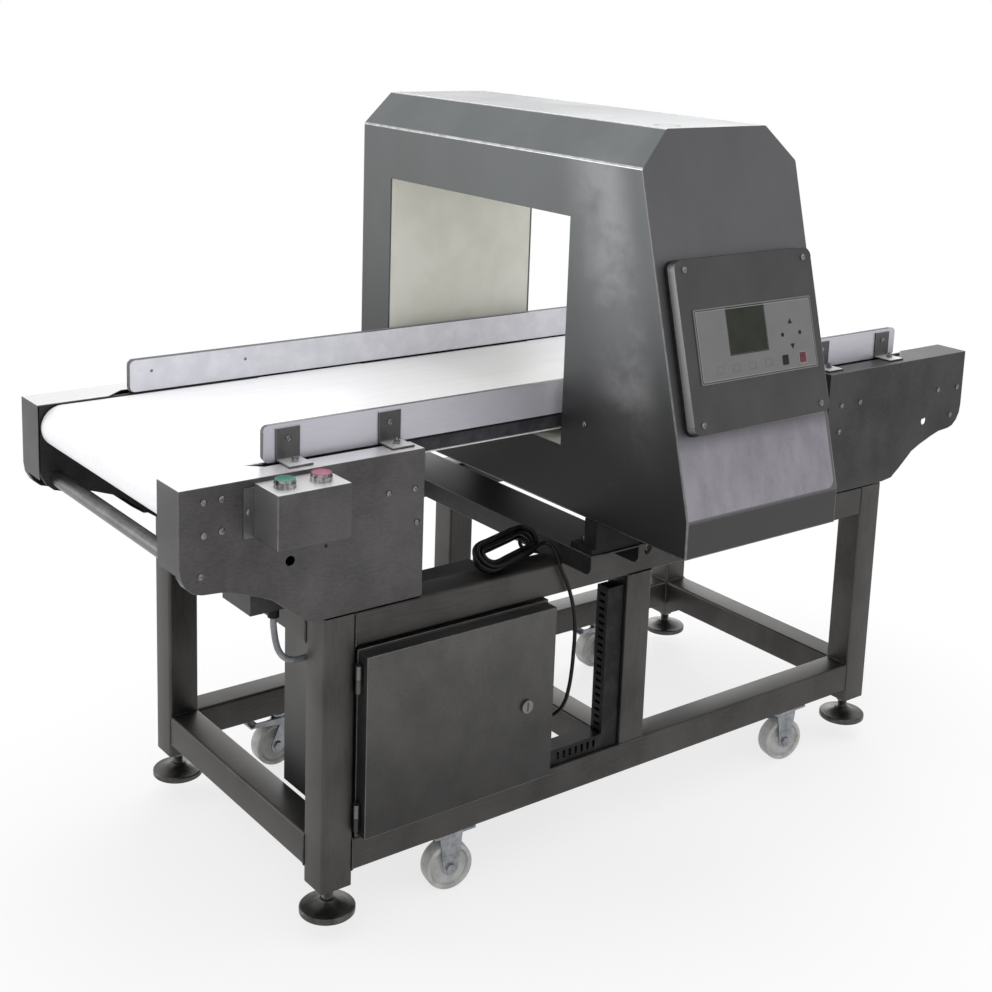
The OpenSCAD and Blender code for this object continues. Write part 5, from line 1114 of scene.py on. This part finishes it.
def make_film():
    """The keypad's film with the window cut out for the display."""
    piece = flat_plate("keypad_film_made", PLATE_LOW, PLATE_HIGH, COVER_FRONT)
    edit(piece, "VERT")
    bpy.ops.mesh.select_all(action="SELECT")
    bpy.ops.mesh.bevel(offset=PLATE_CORNER * MM, segments=5, affect="VERTICES")
    for place, way in ((GLASS_LOW, (1, 0, 0)), (GLASS_HIGH, (1, 0, 0)), (GLASS_LOW, (0, 1, 0)),
                       (GLASS_HIGH, (0, 1, 0))):
        bpy.ops.mesh.select_all(action="SELECT")
        bpy.ops.mesh.bisect(plane_co=Vector((*place, 0)) * MM, plane_no=way)
    bpy.ops.object.mode_set(mode="OBJECT")
    pick_faces(piece, lambda middle: GLASS_LOW[0] < middle.x < GLASS_HIGH[0]
               and GLASS_LOW[1] < middle.y < GLASS_HIGH[1])
    edit(piece, "FACE")
    bpy.ops.mesh.delete(type="FACE")
    bpy.ops.object.mode_set(mode="OBJECT")
    thickened(piece, FILM_THICK)
    soften(piece, 0.25, 2, 60)
    even_shading(piece)
    finish_piece(laid(piece), "keypad_film", "stand", ["keypad_plate"])


def outline_ring(name, low, high, corner, width, thick, finish):
    """A thin printed line round a rectangle with round corners."""
    piece = flat_plate(name, low, high, FILM_FRONT)
    edit(piece, "VERT")
    bpy.ops.mesh.select_all(action="SELECT")
    bpy.ops.mesh.bevel(offset=corner * MM, segments=4, affect="VERTICES")
    bpy.ops.mesh.select_all(action="SELECT")
    bpy.ops.mesh.inset(thickness=width * MM)
    bpy.ops.mesh.delete(type="FACE")
    bpy.ops.object.mode_set(mode="OBJECT")
    finish_piece(laid(thickened(piece, thick)), "keypad_film", "stand", finish=finish)


def key_pad(name, low, high, finish):
    """A flat key with round corners and a soft rim."""
    piece = flat_plate(name, low, high, FILM_FRONT)
    edit(piece, "VERT")
    bpy.ops.mesh.select_all(action="SELECT")
    bpy.ops.mesh.bevel(offset=KEY_CORNER * MM, segments=4, affect="VERTICES")
    bpy.ops.object.mode_set(mode="OBJECT")
    thickened(piece, KEY_THICK)
    soften(piece, 0.2, 2, 60)
    even_shading(piece)
    finish_piece(laid(piece), "keypad_film", "stand", finish=finish)


def printed_mark(name, centre, corners, r, heading):
    """A small printed mark: three corners make an arrow head, which points along the heading."""
    clear_selection()
    spot = Vector((*centre, FILM_FRONT)) * MM
    bpy.ops.mesh.primitive_circle_add(vertices=corners, radius=r * MM, fill_type="NGON", location=spot,
                                      rotation=(0, 0, math.radians(heading - 90)))
    piece = bpy.context.active_object
    piece.name = name
    set_in_place(piece)
    thickened(piece, MARK_THICK)
    finish_piece(laid(piece), "keypad_film", "stand", finish="dark_key")


def make_keypad():
    """The film with its printed lines, cursor marks, two raised keys and four outlined ones."""
    make_film()
    for name, line in PRINTED_LINES.items():
        outline_ring(name, *line)
    printed_mark("up_mark", (MARKS_X, MARKS_Z + ARROW_AWAY), 3, ARROW_R, 90)
    printed_mark("left_mark", (MARKS_X - DOT_AWAY, MARKS_Z), 16, DOT_R, 0)
    printed_mark("right_mark", (MARKS_X + DOT_AWAY, MARKS_Z), 16, DOT_R, 0)
    printed_mark("down_mark", (MARKS_X, MARKS_Z - ARROW_AWAY), 3, ARROW_R, 270)
    key_pad("dark_key", (DARK_KEY_X[0], KEY_LOW), (DARK_KEY_X[1], KEY_HIGH), "dark_key")
    key_pad("red_key", (RED_KEY_X[0], KEY_LOW), (RED_KEY_X[1], KEY_HIGH), "red_key")
    outline_ring("red_key_border", *RED_KEY_LINE)
    for number, x in enumerate(SOFT_KEYS_X, 1):
        low, high = (x - SOFT_KEY_HALF, SOFT_KEY_LOW), (x + SOFT_KEY_HALF, SOFT_KEY_HIGH)
        outline_ring(f"soft_key_{number}", low, high, *SOFT_KEY_LINE)


def make_cabinet():
    """The control cabinet with its door, and the wire duct and cable glands."""
    make_sheet("cabinet_box", "door_steel", [(0.8, 2, 12, "housing_edge")])
    make_sheet("cabinet_door", "door_steel", [(0.9, 2, 12, "housing_edge")])
    make_rounded("door_hinges", "plain_steel", 0.6, finish="bar_steel")
    make_rounded("door_lock", "plain_steel", 0.8, finish="bar_steel")
    make_rounded("power_unit", "unit_case", 0.8)
    make_rounded("wire_duct", "dark_duct", 0)
    make_rounded("cable_glands", "black_rubber", 0.5)


make_stand()
make_feet()
make_wheels()
make_caster_metal()
make_conveyor()
make_guides()
make_switch_box()
make_switches()
make_button("start_button", START_X, "green_cap")
make_button("stop_button", STOP_X, "red_cap")
make_head()
make_keypad()
make_rounded("display", "display_window", 0)
make_cabinet()

# The cables' finishes; their first points are then worked out as places, which nothing keeps
finish_piece(head_cable, "black_cable", "stand", ["head_cable", "cable_hank"])
finish_piece(motor_hose, "grey_conduit", "stand", ["motor_conduit"])
at(*whole_cable[0])
at(*CONDUIT_ROUTE[0])

# Studio: the floor's own glow, which grows to its full strength between two distances from the machine
FLOOR_METRES = 40
FLOOR_GLOW = 0.72
GLOW_GROWS = (700, 2600)


def make_floor():
    """A pale floor that is white to the eye and to reflections, but for the object's shadow."""
    clear_selection()
    bpy.ops.mesh.primitive_plane_add(size=FLOOR_METRES)
    floor = bpy.context.active_object
    floor.name = "floor"
    paint = Paint("floor_paint", 0.9)
    tree = paint.tree
    away = paint.add("ShaderNodeVectorMath", {"operation": "LENGTH"}, {0: paint.place}, 1)
    glowing = FLOOR_GLOW + away.lifted(*GLOW_GROWS) * (1 - FLOOR_GLOW)
    paint.shader.inputs["Base Color"].default_value = (0.86, 0.86, 0.86, 1)
    rays = paint.add("ShaderNodeLightPath", {}, {}, "Is Camera Ray")
    glossy = Wire(paint, rays.socket.node.outputs["Is Glossy Ray"])
    clear = Wire(paint, rays.socket.node.outputs["Is Transmission Ray"])
    seen = paint.add("ShaderNodeMath", {"operation": "MAXIMUM"}, {0: rays, 1: glossy})
    seen = paint.add("ShaderNodeMath", {"operation": "MAXIMUM"}, {0: seen, 1: clear})
    glow = paint.add("ShaderNodeEmission", {}, {"Color": (1, 1, 1, 1), "Strength": 1.0})
    mix = tree.nodes.new("ShaderNodeMixShader")
    tree.links.new((seen * glowing).socket, mix.inputs[0])
    tree.links.new(paint.shader.outputs[0], mix.inputs[1])
    tree.links.new(glow.socket, mix.inputs[2])
    tree.links.new(mix.outputs[0], tree.nodes["Material Output"].inputs[0])
    floor.data.materials.append(paint.material)


def make_world():
    """Even studio light from all round, white to the eye."""
    world = bpy.data.worlds.new("studio")
    bpy.context.scene.world = world
    world.use_nodes = True
    background = world.node_tree.nodes["Background"]
    background.inputs["Strength"].default_value = 1.0
    background.inputs["Color"].default_value = (1, 1, 1, 1)


def lamp(name, place, aim, size, power):
    """A soft box that points from its place to the aim."""
    light = bpy.data.lights.new(name, "AREA")
    light.shape = "SQUARE"
    light.size = size
    light.energy = power
    holder = bpy.data.objects.new(name, light)
    bpy.context.scene.collection.objects.link(holder)
    holder.visible_camera = False
    holder.location = place
    holder.rotation_euler = (Vector(aim) - Vector(place)).to_track_quat("-Z", "Y").to_euler()


make_floor()
make_world()
lamp("top_soft_box", (0.3, 0.2, 3.4), (0, 0, 0.6), 2.2, 30)
lamp("back_soft_box", (3.6, 4.6, 1.9), (0, 0, 0.7), 3.0, 60)
lamp("left_soft_box", (-3.4, 2.6, 1.2), (0, 0, 0.7), 1.6, 25)
bpy.context.scene.view_settings.view_transform = "Standard"
